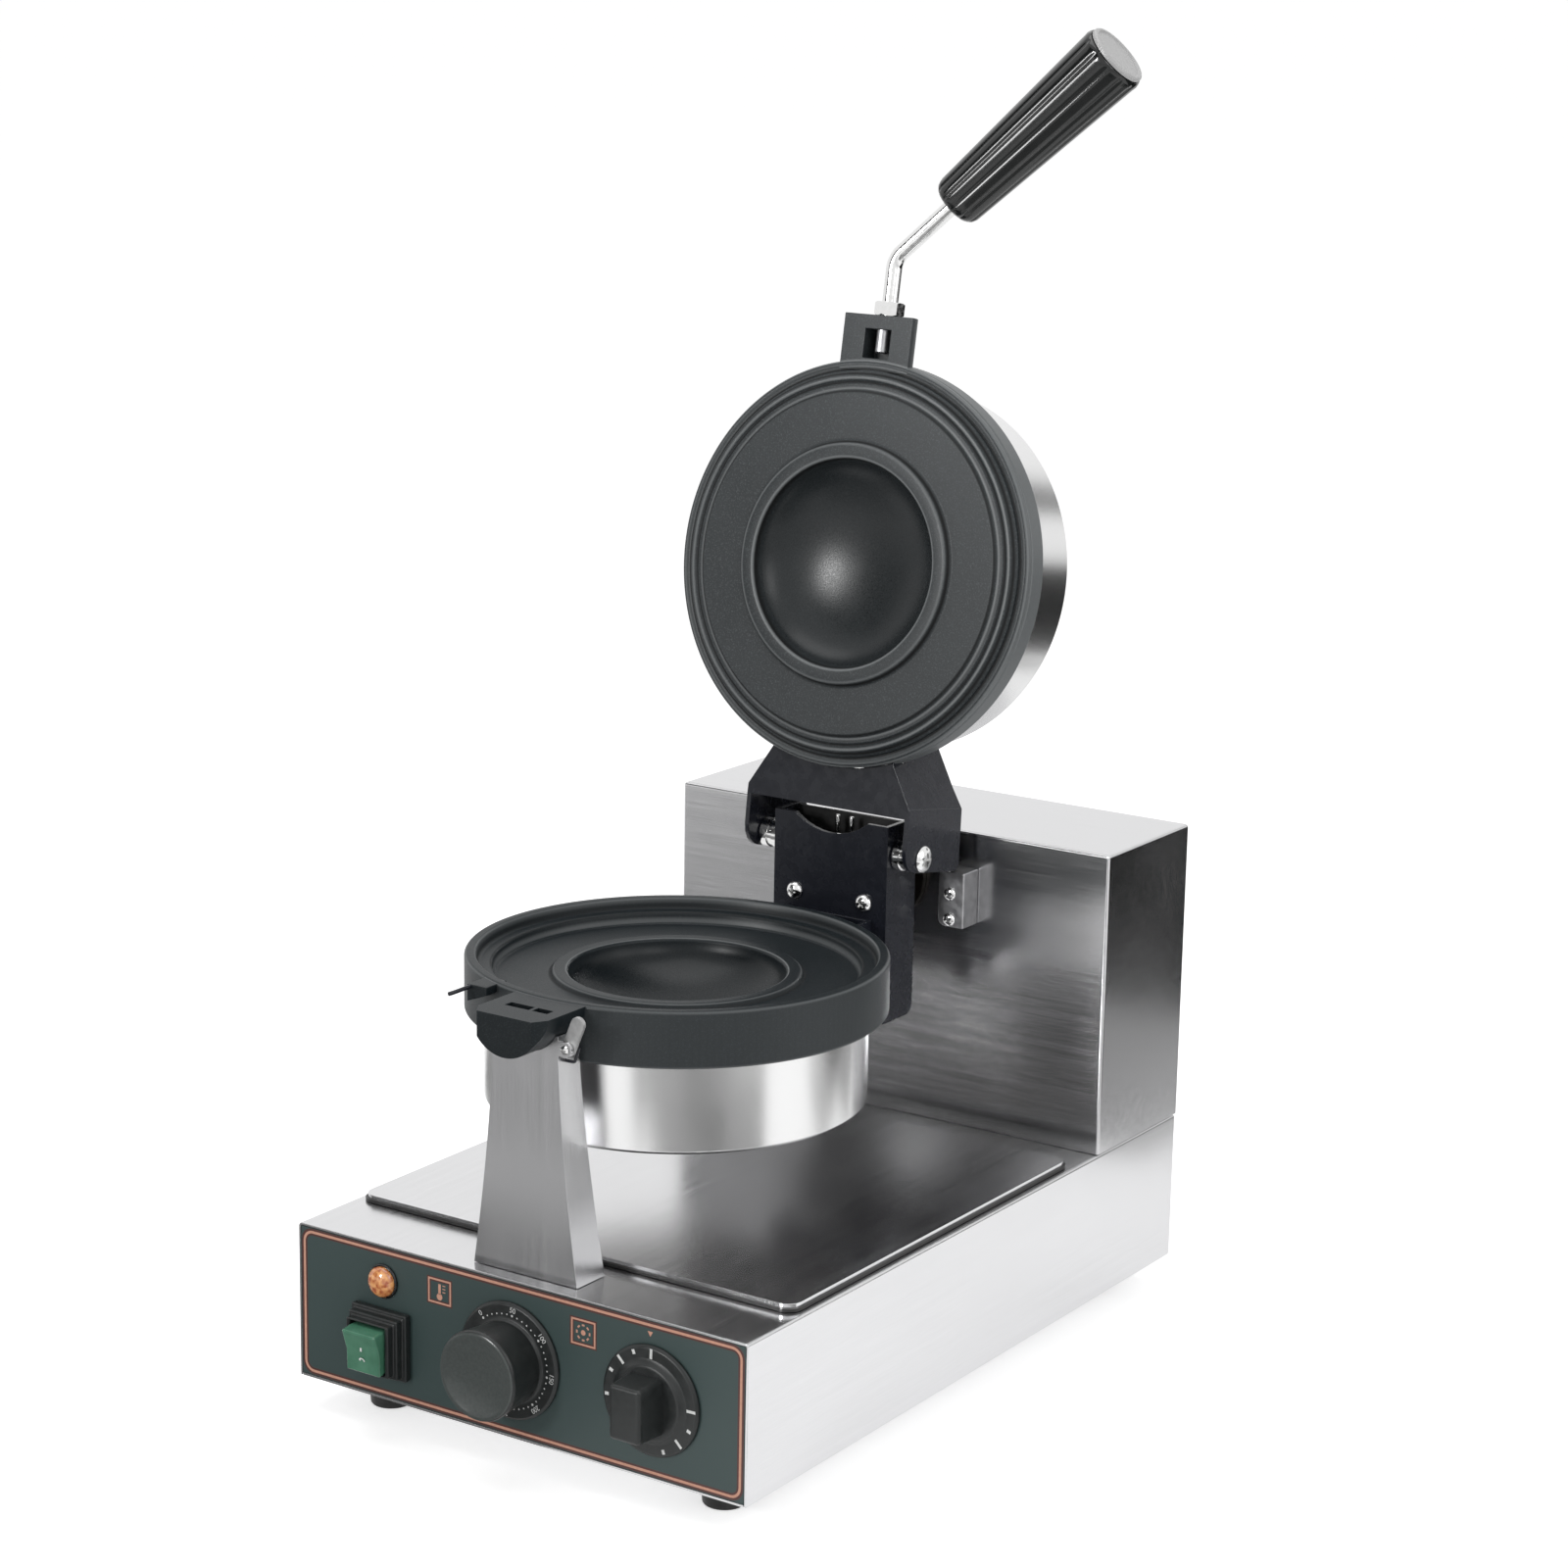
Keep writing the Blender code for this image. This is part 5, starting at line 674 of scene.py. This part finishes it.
bakelite = plain("bakelite", "bakelite", (0.06, 0.042, 0.035), 0.45)
nylon = plain("terminal_nylon", "nylon", (0.75, 0.73, 0.66), 0.5)
finished(bakelite, "thermostat_body", "timer_body")
finished(nylon, "terminal_block")
finished(satin_black, "switch_body")
gland_section = [
    (3.5, 18), (5.4, 18), (8.2, 17), (9.5, 14), (9.5, 6.3), (8.6, 6), (8.6, 0.3), (7.5, 0.3), (7.5, -9),
    (3.5, -9),
]
gland = eased(lathe(gland_section, 48), 0.0004)
gland_place = at(-0.085, 0.202, 0.048) @ to_back
piece("gland_cap", gland, satin_black, "base", "cable_gland", gland_place)


def hexagon(radius, low, high, bore):
    """A hexagon nut along Z, in mm, with its corners turned off and its bore."""
    shape = bmesh.new()
    bmesh.ops.create_cone(
        shape, cap_ends=True, segments=6, radius1=radius * mm, radius2=radius * mm,
        depth=(high - low) * mm, matrix=at(0, 0, (low + high) / 2000),
    )
    inner, outer, chamfer = radius * 0.88, radius * 1.02, radius * 0.1
    crown = [
        (0, high), (inner, high), (outer, high - chamfer), (outer, low + chamfer), (inner, low), (0, low),
    ]
    shape = carved(shape, lathe(crown, 48), "INTERSECT")
    if bore:
        shape = carved(shape, lathe([(0, high + 1), (bore, high + 1), (bore, low - 1), (0, low - 1)], 32))
    return shape


piece("gland_nut", hexagon(11.5, 0.3, 6, 8.7), satin_black, "base", place=gland_place)

# Shaft: a hollow steel shaft with a slotted flange, in two bronze bushings and a bent frame.
# The shaft and its collar are blackened and oiled, and they are mostly hidden in the tower.

bronze = plain("bearing_bronze", "bronze", (0.050, 0.045, 0.038), 0.45, 1.0)
oiled_steel = plain("oiled_steel", "steel", (0.060, 0.060, 0.064), 0.42, 1.0)
finished(oiled_steel, "head_shaft", "shaft_collar")
finished(plain_steel, "bearing_frame", "lower_heater", "upper_heater")
finished(bronze, "front_bushing", "back_bushing")

# Hinge channel: a pressed steel channel in gloss black, screwed to the shaft's flange.
# Its curved notch lets the leads through past two small studs. A bright wire along the notch's edge is a
# painted highlight, and a black rubber sheet behind it is painted shade.

dressed("hinge_channel", black_paint, "head", 0.0006, 3)
dressed("lower_arm", black_paint, "head", 0.0005, 2)
for side, name in ((-1, "left"), (1, "right")):
    place = at(side * 0.0208, 0.064, 0.220) @ to_front @ Matrix.Rotation(0.5 * side + 0.3, 4, "Z")
    screw = cross_screw(4.6, 3.2, 2.2, 6.5)
    piece(f"channel_screw_{name}_turned", screw, bright_plate, "head", f"channel_screw_{name}", place)
    stud = lathe([(0, 11), (0.9, 11), (1.3, 10.4), (1.3, 0), (0, 0)], 20)
    piece(f"lead_stud_{name}", stud, bright_plate, "head", place=at(0.0005 + side * 0.0042, 0.0763, 0.2487))

# Painted shade: a dark sheet that darkens the notch's opening.
shade_sheet = eased(box_shape((-31.4, 82.5, 239), (31.4, 83.3, 260)), 0.0002)
piece("notch_shade_sheet", shade_sheet, rubber, "head")
# Painted highlight: a bright wire along the notch's lower edge.
notch_radius, notch_front, notch_centre = 0.0333, 0.0652, 0.28457
notch_highlight_wire = [
    (notch_radius * math.sin(turn), notch_front, notch_centre - notch_radius * math.cos(turn))
    for turn in [math.radians(-39 + 78 * step / 24) for step in range(25)]
]
wire("notch_highlight_wire", notch_highlight_wire, 0.0006, bright_plate, "head", kind="POLY")

# Hinge: two bolts with cross recesses, a bright spacer outside each flange and a nut inside it.
# All are zinc plated, and the heads stand outside the lid's ears.

hinge_axis = at(0, 0.074, 0.245)
spacer_section = [
    (4.3, 45.7), (6.9, 45.7), (7.5, 45.2), (7.5, 41.6), (6.7, 41.2), (6.7, 38.7), (7.5, 38.3), (7.5, 34.8),
    (6.9, 34.3), (4.3, 34.3),
]
for name, outward in (("left", to_left), ("right", to_right)):
    place = hinge_axis @ outward
    head = cross_screw(6.8, 3.2, 4.0, 0.1)
    head.transform(at(0, 0, 0.0485))
    shank = lathe([(0, 48.9), (4, 48.9), (4, 22.8), (3.4, 22.2), (0, 22.2)], 32)
    bolt = merged([head, shank])
    piece(f"hinge_bolt_{name}_turned", bolt, bright_plate, "head", f"hinge_bolt_{name}", place)
    spacer = lathe(spacer_section, 48)
    piece(f"hinge_spacer_{name}_turned", spacer, bright_plate, "head", f"hinge_spacer_{name}", place)
    nut = hexagon(7.5, 25.0, 31.2, 4.3)
    piece(f"hinge_nut_{name}_cut", nut, bright_plate, "head", f"hinge_nut_{name}", place)

# Lower mould: an aluminium casting with a dark non-stick coating, turned on its rim and face.
# The basin, the crimping ridge and the bun's pocket are turned, and the journal tab is cast on.

lower_place = at(0, -0.068, 0.222)


def casting_coat(name, place, edges, grooves, deep, pale, shine):
    """Dark coating on a casting: a smoother pocket, painted highlights on its turned edges and painted shade
    in its grooves and pocket.
    """
    made = Finish(name, "cast_coating", Specular_IOR_Level=shine)
    inverse = place.inverted()
    spot = made.node("ShaderNodeTexCoord", out="Object")
    local = made.node(
        "ShaderNodeMapping",
        sockets={"Vector": spot, "Location": inverse.translation[:], "Rotation": inverse.to_euler()[:]},
    )
    flat = made.node("ShaderNodeVectorMath", {"operation": "MULTIPLY"}, {0: local, 1: (1, 1, 0)})
    radius = made.node("ShaderNodeVectorMath", {"operation": "LENGTH"}, {0: flat}, "Value")
    # Painted highlights: bright rings at the turned edges' radii. Painted shade: dark rings at the grooves'
    # radii.
    painted_edge_glint, painted_groove_shade = (
        sum(
            made.span(abs(radius - ring * mm), share, 0.0, 0.0001, width * mm)
            for ring, width, share in rings
        )
        for rings in (edges, grooves)
    )
    pocket = made.span(radius, 1.0, 0.0, 0.0505, 0.0520)
    speckle = made.noise(made.place(), 1300, 3.0, 0.6)
    patch = made.noise(made.place(), 34, 3.0)
    flecks = made.span(speckle, 0.0, 1.0, 0.52, 0.72) * (1 - 0.7 * pocket)
    ground = made.between(0.75 * flecks + 0.25 * patch, deep, pale)
    # Painted shade: the grooves, and more lightly the pocket, are darkened towards black.
    painted_shade_ground = made.between(painted_groove_shade + 0.3 * pocket, ground, (0.002, 0.002, 0.002))
    # Painted highlights: the edge rings are lightened towards pale grey.
    made.set("Base Color", made.between(painted_edge_glint, painted_shade_ground, (0.30, 0.315, 0.32)))
    rough = made.span(speckle, 0.36, 0.48, 0.3, 0.7) + made.span(patch, -0.03, 0.05)
    made.set("Roughness", rough - 0.13 * pocket - 0.10 * painted_edge_glint + 0.30 * painted_groove_shade)
    made.relief(speckle, 0.00004)
    return made


# The same coating as the upper casting's, painted darker here: painted shade on the basin.
lower_coat = casting_coat(
    "lower_coat", lower_place,
    # Radii in mm of the painted edge highlights, then of the painted groove shade.
    [(53.2, 0.5, 0.35), (59.2, 0.6, 0.25), (87.4, 0.5, 0.30), (96.2, 0.7, 0.35), (101.0, 0.7, 0.25)],
    [(60.9, 0.9, 0.6), (88.9, 0.9, 0.5), (95.0, 0.8, 0.5)],
    (0.005, 0.008, 0.010), (0.020, 0.027, 0.030), 0.22,
)


def journal(start, end, low, high):
    """The round journal along -Y from the mould's centre, as far as it lies between two heights, in mm."""
    shape = lathe([(0, end), (20, end), (20, start), (0, start)])
    shape.transform(to_front)
    return carved(shape, box_shape((-40, -200, low), (40, 0, high)), "INTERSECT")


def screw_boss(root, end, floor):
    """The boss for the drum's screw, with a blind hole down to its floor, in mm."""
    return lathe([(0, root), (9, root), (9, end), (3.3, end), (3.3, floor), (0, floor)], 48)


lower_section = dome(52, -10.2, -21.8) + [
    (53.0, -9.3), (53.8, -9.0), (58.4, -9.0), (59.6, -9.6), (60.6, -11.0), (62, -11.5), (86.2, -11.5),
    (87.2, -10.6), (88.2, -6.4), (89.2, -5.7), (93.8, -5.7), (95.2, -4.9), (95.9, -1.2), (96.7, 0),
    (100.3, 0), (101.5, -1.2), (101.5, -26.3), (100.3, -27.5), (96, -27.5), (96, -16.5),
] + dome(57, -16.5, -20.5)[::-1]
bowl = eased(lathe(lower_section, 192), 0.0005, 2, 0.45)
tab_end = 133.7
lower_tab = journal(96, tab_end, -40, -0.5)
slant = math.atan2(-4.5, 7.0)
for side, turn in ((-1, math.pi - slant), (1, slant)):
    wedge = box_shape((0, -30, -30), (30, 30, 30))
    wedge.transform(Matrix.Rotation(turn, 4, "Z"))
    wedge.transform(at(side * 0.0155, -tab_end * mm, 0))
    lower_tab = carved(lower_tab, wedge)
for left, right in ((-11, 2.5), (4.5, 13)):
    lower_tab = carved(lower_tab, box_shape((left, -119, -8), (right, -114, 4)))
lower_tab = eased(lower_tab, 0.0007, 2, 0.6)
pin_lug = box_shape((-45.5, -103.3, -9), (-34, -88, -0.5))
for vertex in pin_lug.verts:
    if vertex.co.z < -0.005 and vertex.co.x > -0.04:
        vertex.co.z += 0.0045
pin_lug = eased(pin_lug, 0.0006, 2)
lower_shape = merged([bowl, lower_tab, pin_lug, screw_boss(-34, -41, -36)])
piece("lower_casting", lower_shape, lower_coat, "head", "lower_mould", lower_place, 0.5)
pin_route = [
    (-0.0437, -0.0936, -0.0016), (-0.0437, -0.1096, -0.0016), (-0.0439, -0.1136, -0.0018),
    (-0.0448, -0.1172, -0.0021),
]
wire("latch_pin_wire", pin_route, 0.001, black_paint, "head", "latch_pin", lower_place)

# Drums: the heater housings, spun from stainless sheet and brushed round their axis.
# Each is held to its casting by one hexagon screw through its end, and the lower drum is darker at its closed
# end.

drum_grey = (0.80, 0.80, 0.80)
lower_drum_steel = brushed("lower_drum_steel", "brushed_drum", drum_grey, (1.0, 1.0, 30.0), 0.000001)
# The lower drum's colour is darker at its closed lower end.
end_darkening = lower_drum_steel.node("ShaderNodeSeparateXYZ", sockets={0: lower_drum_steel.place()}, out=2)
end_darkening = lower_drum_steel.span(end_darkening, 1.0, 0.0, 0.1506, 0.1512)
lower_drum_steel.set("Base Color", lower_drum_steel.between(end_darkening, drum_grey, (0.17, 0.165, 0.16)))
drum_section = [
    (3.3, 0), (70, 0), (72, 0), (80, 0), (82, 0), (89.0, 0), (90.8, 0.5), (92, 1.9), (92, 43.4),
    (91.4, 44.0), (91, 44.0), (91, 1.2), (3.3, 1.2),
]


def hung_drum(node, length, screw_end, finish, body, place):
    """A spun drum as long as length, its closed end down, and the screw that holds it, in mm."""
    section = [(radius, height if height < 10 else height - 44.2 + length) for radius, height in drum_section]
    piece(f"{node}_spun", eased(lathe(section, 192), 0.0003, 2, 0.5), finish, body, node, place)
    shank = lathe([(0, 0), (3, 0), (3, screw_end), (0, screw_end)], 24)
    screw = merged([hexagon(6.2, -4.8, -0.3, 0), shank])
    piece(f"{node}_screw_cut", screw, bright_plate, body, f"{node}_screw", place)


hung_drum("lower_drum", 44.2, 30, lower_drum_steel, "head", lower_place @ at(0, 0, -0.0717))

# Lid: the bracket is folded from one black sheet, with a neck round the mould and two ears.
# The upper casting mates with the lower one, and its drum and heater sit behind it.

lid_place = hinge_axis @ Matrix.Rotation(math.radians(-100), 4, "X") @ at(0, -0.142, -0.023)
dressed("lid_bracket", black_paint, "lid", 0.0007, 3)
upper_section = dome(57, 1.8, 18) + [
    (96, 1.8), (96, 17), (100.3, 17), (101.5, 15.8), (101.5, 5.9), (100.6, 5.0), (101.5, 4.1), (101.5, 1.6),
    (100.3, 0.4), (99.2, 0.4), (98.4, 1.5), (96.6, 1.6), (96.2, 0.2), (95.4, -0.2), (94.6, -0.6),
    (94.0, -2.2), (93.2, -2.7), (91.4, -2.7), (90.8, -2.0), (90.0, -2.0), (89.4, -2.7), (86.6, -2.7),
    (85.9, -4.2), (85, -4.7), (62, -4.7), (61.0, -5.2), (59.8, -7.6), (58.4, -8.2), (53.8, -8.2),
    (52.8, -7.9),
] + dome(52, -7.0, 21.8)[::-1]
crown = eased(lathe(upper_section, 192), 0.00035, 2, 0.45)
upper_tab = journal(96, 124, 0.9, 40)
upper_tab = carved(upper_tab, box_shape((-7, -117, -3), (8, -102.5, 12)))
upper_tab = eased(upper_tab, 0.0009, 2, 0.6)
# The same coating as the lower casting's, painted lighter here: painted light on the lid's face.
upper_coat = casting_coat(
    "upper_coat", lid_place,
    # Radii in mm of the painted edge highlights:
    [
        (53.0, 0.9, 0.55), (59.2, 1.0, 0.35), (87.2, 1.0, 0.40), (92.6, 1.0, 0.45), (98.9, 1.2, 0.40),
        (101.2, 0.8, 0.45),
    ],
    # Radii in mm of the painted groove shade:
    [
        (52.0, 0.7, 0.8), (60.6, 0.9, 0.9), (85.6, 0.8, 0.8), (90.3, 0.7, 0.9), (94.6, 0.9, 0.9),
        (97.0, 0.8, 0.9),
    ],
    (0.017, 0.021, 0.023), (0.076, 0.086, 0.091), 0.30,
)
upper_shape = merged([crown, upper_tab, screw_boss(17, 23.8, 18.5)])
piece("upper_casting", upper_shape, upper_coat, "lid", "upper_mould", lid_place, 0.5)

upper_drum_steel = Finish("upper_drum_steel", "brushed_drum", Metallic=1.0)
rings = upper_drum_steel.place((1.0, 1.0, 30.0), (math.radians(100), 0, 0))
lines = upper_drum_steel.noise(rings, 900, 3.0, 0.6)
upper_drum_steel.set("Base Color", upper_drum_steel.between(lines, (0.76, 0.76, 0.76), (0.82, 0.82, 0.82)))
upper_drum_steel.set("Roughness", upper_drum_steel.span(lines, 0.18, 0.27, 0.3, 0.7))
upper_drum_steel.relief(lines, 0.000001)
flip = Matrix.Rotation(math.pi, 4, "X")
hung_drum("upper_drum", 42.2, 36, upper_drum_steel, "lid", lid_place @ at(0, 0, 0.0592) @ flip)

# Crank: a plated rod, bent once, in the upper tab under a nut, with a fluted phenolic grip.
# The grip is gloss black with twelve narrow grooves, and a grey cap closes its end.

handle_place = lid_place @ at(0, 0, 0.010)
handle_nut = hexagon(7.5, 124.3, 131.1, 4.3)
piece("handle_nut_cut", handle_nut, bright_plate, "lid", "handle_nut", handle_place @ to_front)
bend = math.radians(46.8)
bend_radius = 0.012
corner = Vector((0, -0.153, 0))
along = Vector((math.sin(bend), -math.cos(bend), 0))
centre = corner + Vector((bend_radius, bend_radius * math.tan(bend / 2), 0))
rod_route = [(0, -0.1185, 0)]
for step in range(17):
    angle = bend * step / 16
    rod_route.append(tuple(centre - bend_radius * Vector((math.cos(angle), math.sin(angle), 0))))
grip_start = corner + along * 0.041
rod_route.append(tuple(grip_start + along * 0.0337))
wire("handle_rod_bent", rod_route, 0.004, bright_plate, "lid", "handle_rod", handle_place, 8, "POLY")
rod_end = lathe([(0, 0), (2.6, 0), (3.4, 0.8), (3.4, 11.6), (0, 11.6)], 40)
rod_end_place = lid_place @ at(0.0012, -0.1053, 0.0052) @ to_front
piece("handle_rod_end", rod_end, plain_steel, "lid", place=rod_end_place)

grip_section = [(4.3, 0.0), (8.6, 0.0), (11.2, 0.7), (12.6, 2.2), (13.38, 4.5)]
grip_section += [(13.38 + 4.04 * step / 20, 4.5 + 101.0 * step / 20) for step in range(1, 21)]
grip_section += [(17.6, 107.75), (17.2, 109.2), (16.72, 110.0), (4.3, 110.0)]
grip = lathe(grip_section, 288)
bore, grooves, groove_depth = 0.008, 12, 0.0007
for vertex in grip.verts:
    radius = Vector(vertex.co[:2]).length
    if radius < bore:
        continue
    fade = min(1.0, max(0.0, vertex.co.z / 0.0035)) * min(1.0, max(0.0, (0.1095 - vertex.co.z) / 0.003))
    hollow = (0.5 + 0.5 * math.cos(grooves * math.atan2(vertex.co.y, vertex.co.x))) ** 5
    shrink = 1 - groove_depth * fade * hollow / radius
    vertex.co.x *= shrink
    vertex.co.y *= shrink
grip_place = handle_place @ Matrix.Translation(grip_start) @ Matrix.Rotation(bend, 4, "Z") @ to_front
phenolic = mottled(
    "phenolic", "black_plastic", (120, 3.0), (0.006, 0.007, 0.007), (0.013, 0.014, 0.014), (0.11, 0.15),
    Specular_IOR_Level=0.5,
)
piece("grip_fluted", grip, phenolic, "lid", "handle_grip", grip_place, 0.9)
cap_grey = plain("cap_grey", "cap_grey", (0.46, 0.46, 0.46), 0.45)
cap = lathe([
    (0, 111.85), (13.6, 111.85), (14.2, 112.65), (15.38, 112.65), (16.15, 111.85), (16.15, 110.3), (0, 110.3),
], 64)
piece("grip_end_cap", eased(cap, 0.0002), cap_grey, "lid", "grip_cap", grip_place)

# Studio: a wide pale floor, four soft lamps, two small lamps that only gloss sees, grey cards and
# the camera. The cards give the steel its dark bands, as a photographer's flags do, and the two
# small lamps give the grip and the lid's pocket their highlights.


def stage_mesh(name, place, width, height, material):
    """A flat sheet of the studio, in its place, in metres."""
    shape = bar(width, height, 1)
    shape.transform(place)
    made = linked(name, meshed(name, shape))
    made.data.materials.append(material)
    return made


floor_paint = Finish(
    "floor_paint", "stainless", Base_Color=(0.86, 0.86, 0.86), Roughness=0.9, Specular_IOR_Level=0.0
)
rays = floor_paint.tree.nodes.new("ShaderNodeLightPath")
seen = sum(
    glow * Tone(floor_paint, rays.outputs[f"Is {kind} Ray"])
    for kind, glow in (("Camera", 0.53), ("Glossy", 0.30), ("Transmission", 0.53))
)
floor_paint.set("Emission Color", (1.0, 1.0, 1.0))
floor_paint.set("Emission Strength", seen)
stage_mesh("floor", Matrix(), 60, 60, floor_paint.material)


def mirrored_card(name, place, width, height, tone):
    """A grey card that only polished surfaces see, and that lights nothing."""
    black = (0.0, 0.0, 0.0)
    paint = Finish(f"{name}_paint", "stainless", Base_Color=black, Roughness=1.0, Specular_IOR_Level=0.0)
    paint.set("Emission Color", (tone, tone, tone))
    paint.set("Emission Strength", 1.0)
    made = stage_mesh(name, place, width, height, paint.material)
    made.visible_camera = False
    made.visible_diffuse = False
    made.visible_shadow = False
    made.visible_transmission = False


floor_cards = (
    (-1.00, -0.95, -0.35, -0.46, 0.34), (-0.35, -0.95, -0.10, -0.60, 0.29),
    (-0.35, -0.60, -0.10, -0.53, 0.38), (-0.35, -0.53, -0.10, -0.46, 0.52),
    (-0.60, -0.455, 0.00, -0.20, 0.20), (0.20, -0.59, 0.75, -0.115, 0.32),
    (0.13, -0.95, 0.75, -0.595, 0.32), (0.24, 0.362, 0.60, 0.615, 0.38),
    (0.30, 0.62, 5.00, 6.00, 0.01), (0.38, 0.19, 0.62, 0.36, 0.50),
    (-0.75, -0.195, -0.45, 0.16, 0.26),
)
for number, (left, front, right, back, tone) in enumerate(floor_cards, 1):
    middle = at((left + right) / 2, (front + back) / 2, 0.002)
    mirrored_card(f"floor_card_{number}", middle, right - left, back - front, tone)
mirrored_card("dark_card_front", at(0.50, -0.465, 0.003), 0.20, 0.27, 0.16)
mirrored_card("dark_card_back", at(0.51, 0.45, 0.003), 0.23, 0.22, 0.06)
to_object = Matrix.Rotation(math.atan2(-1.64, 2.52), 4, "Z") @ to_front
mirrored_card("high_card", at(-1.75, -2.69, 1.78) @ to_object, 3.2, 2.72, 0.03)
mirrored_card("back_card", at(1.40, 3.60, 1.60) @ Matrix.Rotation(-0.37, 4, "Z") @ to_front, 1.1, 0.9, 0.12)

world = bpy.data.worlds.new("studio")
bpy.context.scene.world = world
world.use_nodes = True
sky = world.node_tree.nodes["Background"]
rays = world.node_tree.nodes.new("ShaderNodeLightPath")
strength = world.node_tree.nodes.new("ShaderNodeMapRange")
strength.inputs["To Min"].default_value = 0.55
strength.inputs["To Max"].default_value = 1.0
either = world.node_tree.nodes.new("ShaderNodeMath")
either.operation = "MAXIMUM"
world.node_tree.links.new(rays.outputs["Is Camera Ray"], either.inputs[0])
world.node_tree.links.new(rays.outputs["Is Glossy Ray"], either.inputs[1])
world.node_tree.links.new(either.outputs[0], strength.inputs[0])
world.node_tree.links.new(strength.outputs[0], sky.inputs["Strength"])
sky.inputs["Color"].default_value = (1, 1, 1, 1)


def softbox(name, place, target, width, height, power, gloss_only=False, spread=180):
    """A soft rectangular lamp, in metres and watts, that looks at its target."""
    lamp = bpy.data.lights.new(name, "AREA")
    lamp.shape = "RECTANGLE"
    lamp.size = width
    lamp.size_y = height
    lamp.energy = power
    lamp.spread = math.radians(spread)
    made = linked(name, lamp)
    made.location = place
    made.rotation_euler = (Vector(target) - Vector(place)).to_track_quat("-Z", "Y").to_euler()
    made.visible_diffuse = made.visible_camera = not gloss_only


softbox("top_box", (-0.3, 0.1, 2.2), (0, 0, 0.2), 1.6, 1.6, 14)
softbox("front_box", (-0.72, -2.85, 1.38), (0, 0.06, 0.39), 0.40, 0.28, 17)
softbox("grip_gleam", (-0.191, -0.366, 0.669), (0.1, 0.1, 0.65), 0.18, 0.18, 0.16, gloss_only=True, spread=50)
softbox("lid_gleam", (-0.80, -2.83, 1.00), (0, 0.06, 0.39), 0.42, 0.42, 31, gloss_only=True)
softbox("fill_box", (1.10, -0.55, 1.05), (0, 0.0, 0.35), 0.6, 0.6, 3)
softbox("side_box", (1.9, 0.3, 1.0), (0, 0, 0.25), 0.8, 1.4, 6)

# The camera was solved from the corners of the base and the tower in the photo.
lens_camera = bpy.data.cameras.new("camera")
lens_camera.lens = 84.53
lens_camera.sensor_width = 36
lens_camera.clip_start = 0.05
lens_camera.clip_end = 200
camera = linked("camera", lens_camera)
forward = Vector((-0.54026, 0.80896, -0.23173)).normalized()
right = Vector((0.832, 0.555, 0.018))
right = (right - forward * right.dot(forward)).normalized()
up = right.cross(forward)
turn = Matrix((right, up, -forward)).transposed().to_4x4()
camera.matrix_world = at(0.97926, -1.44542, 0.70661) @ turn
bpy.context.scene.camera = camera
bpy.context.scene.view_settings.view_transform = "Standard"
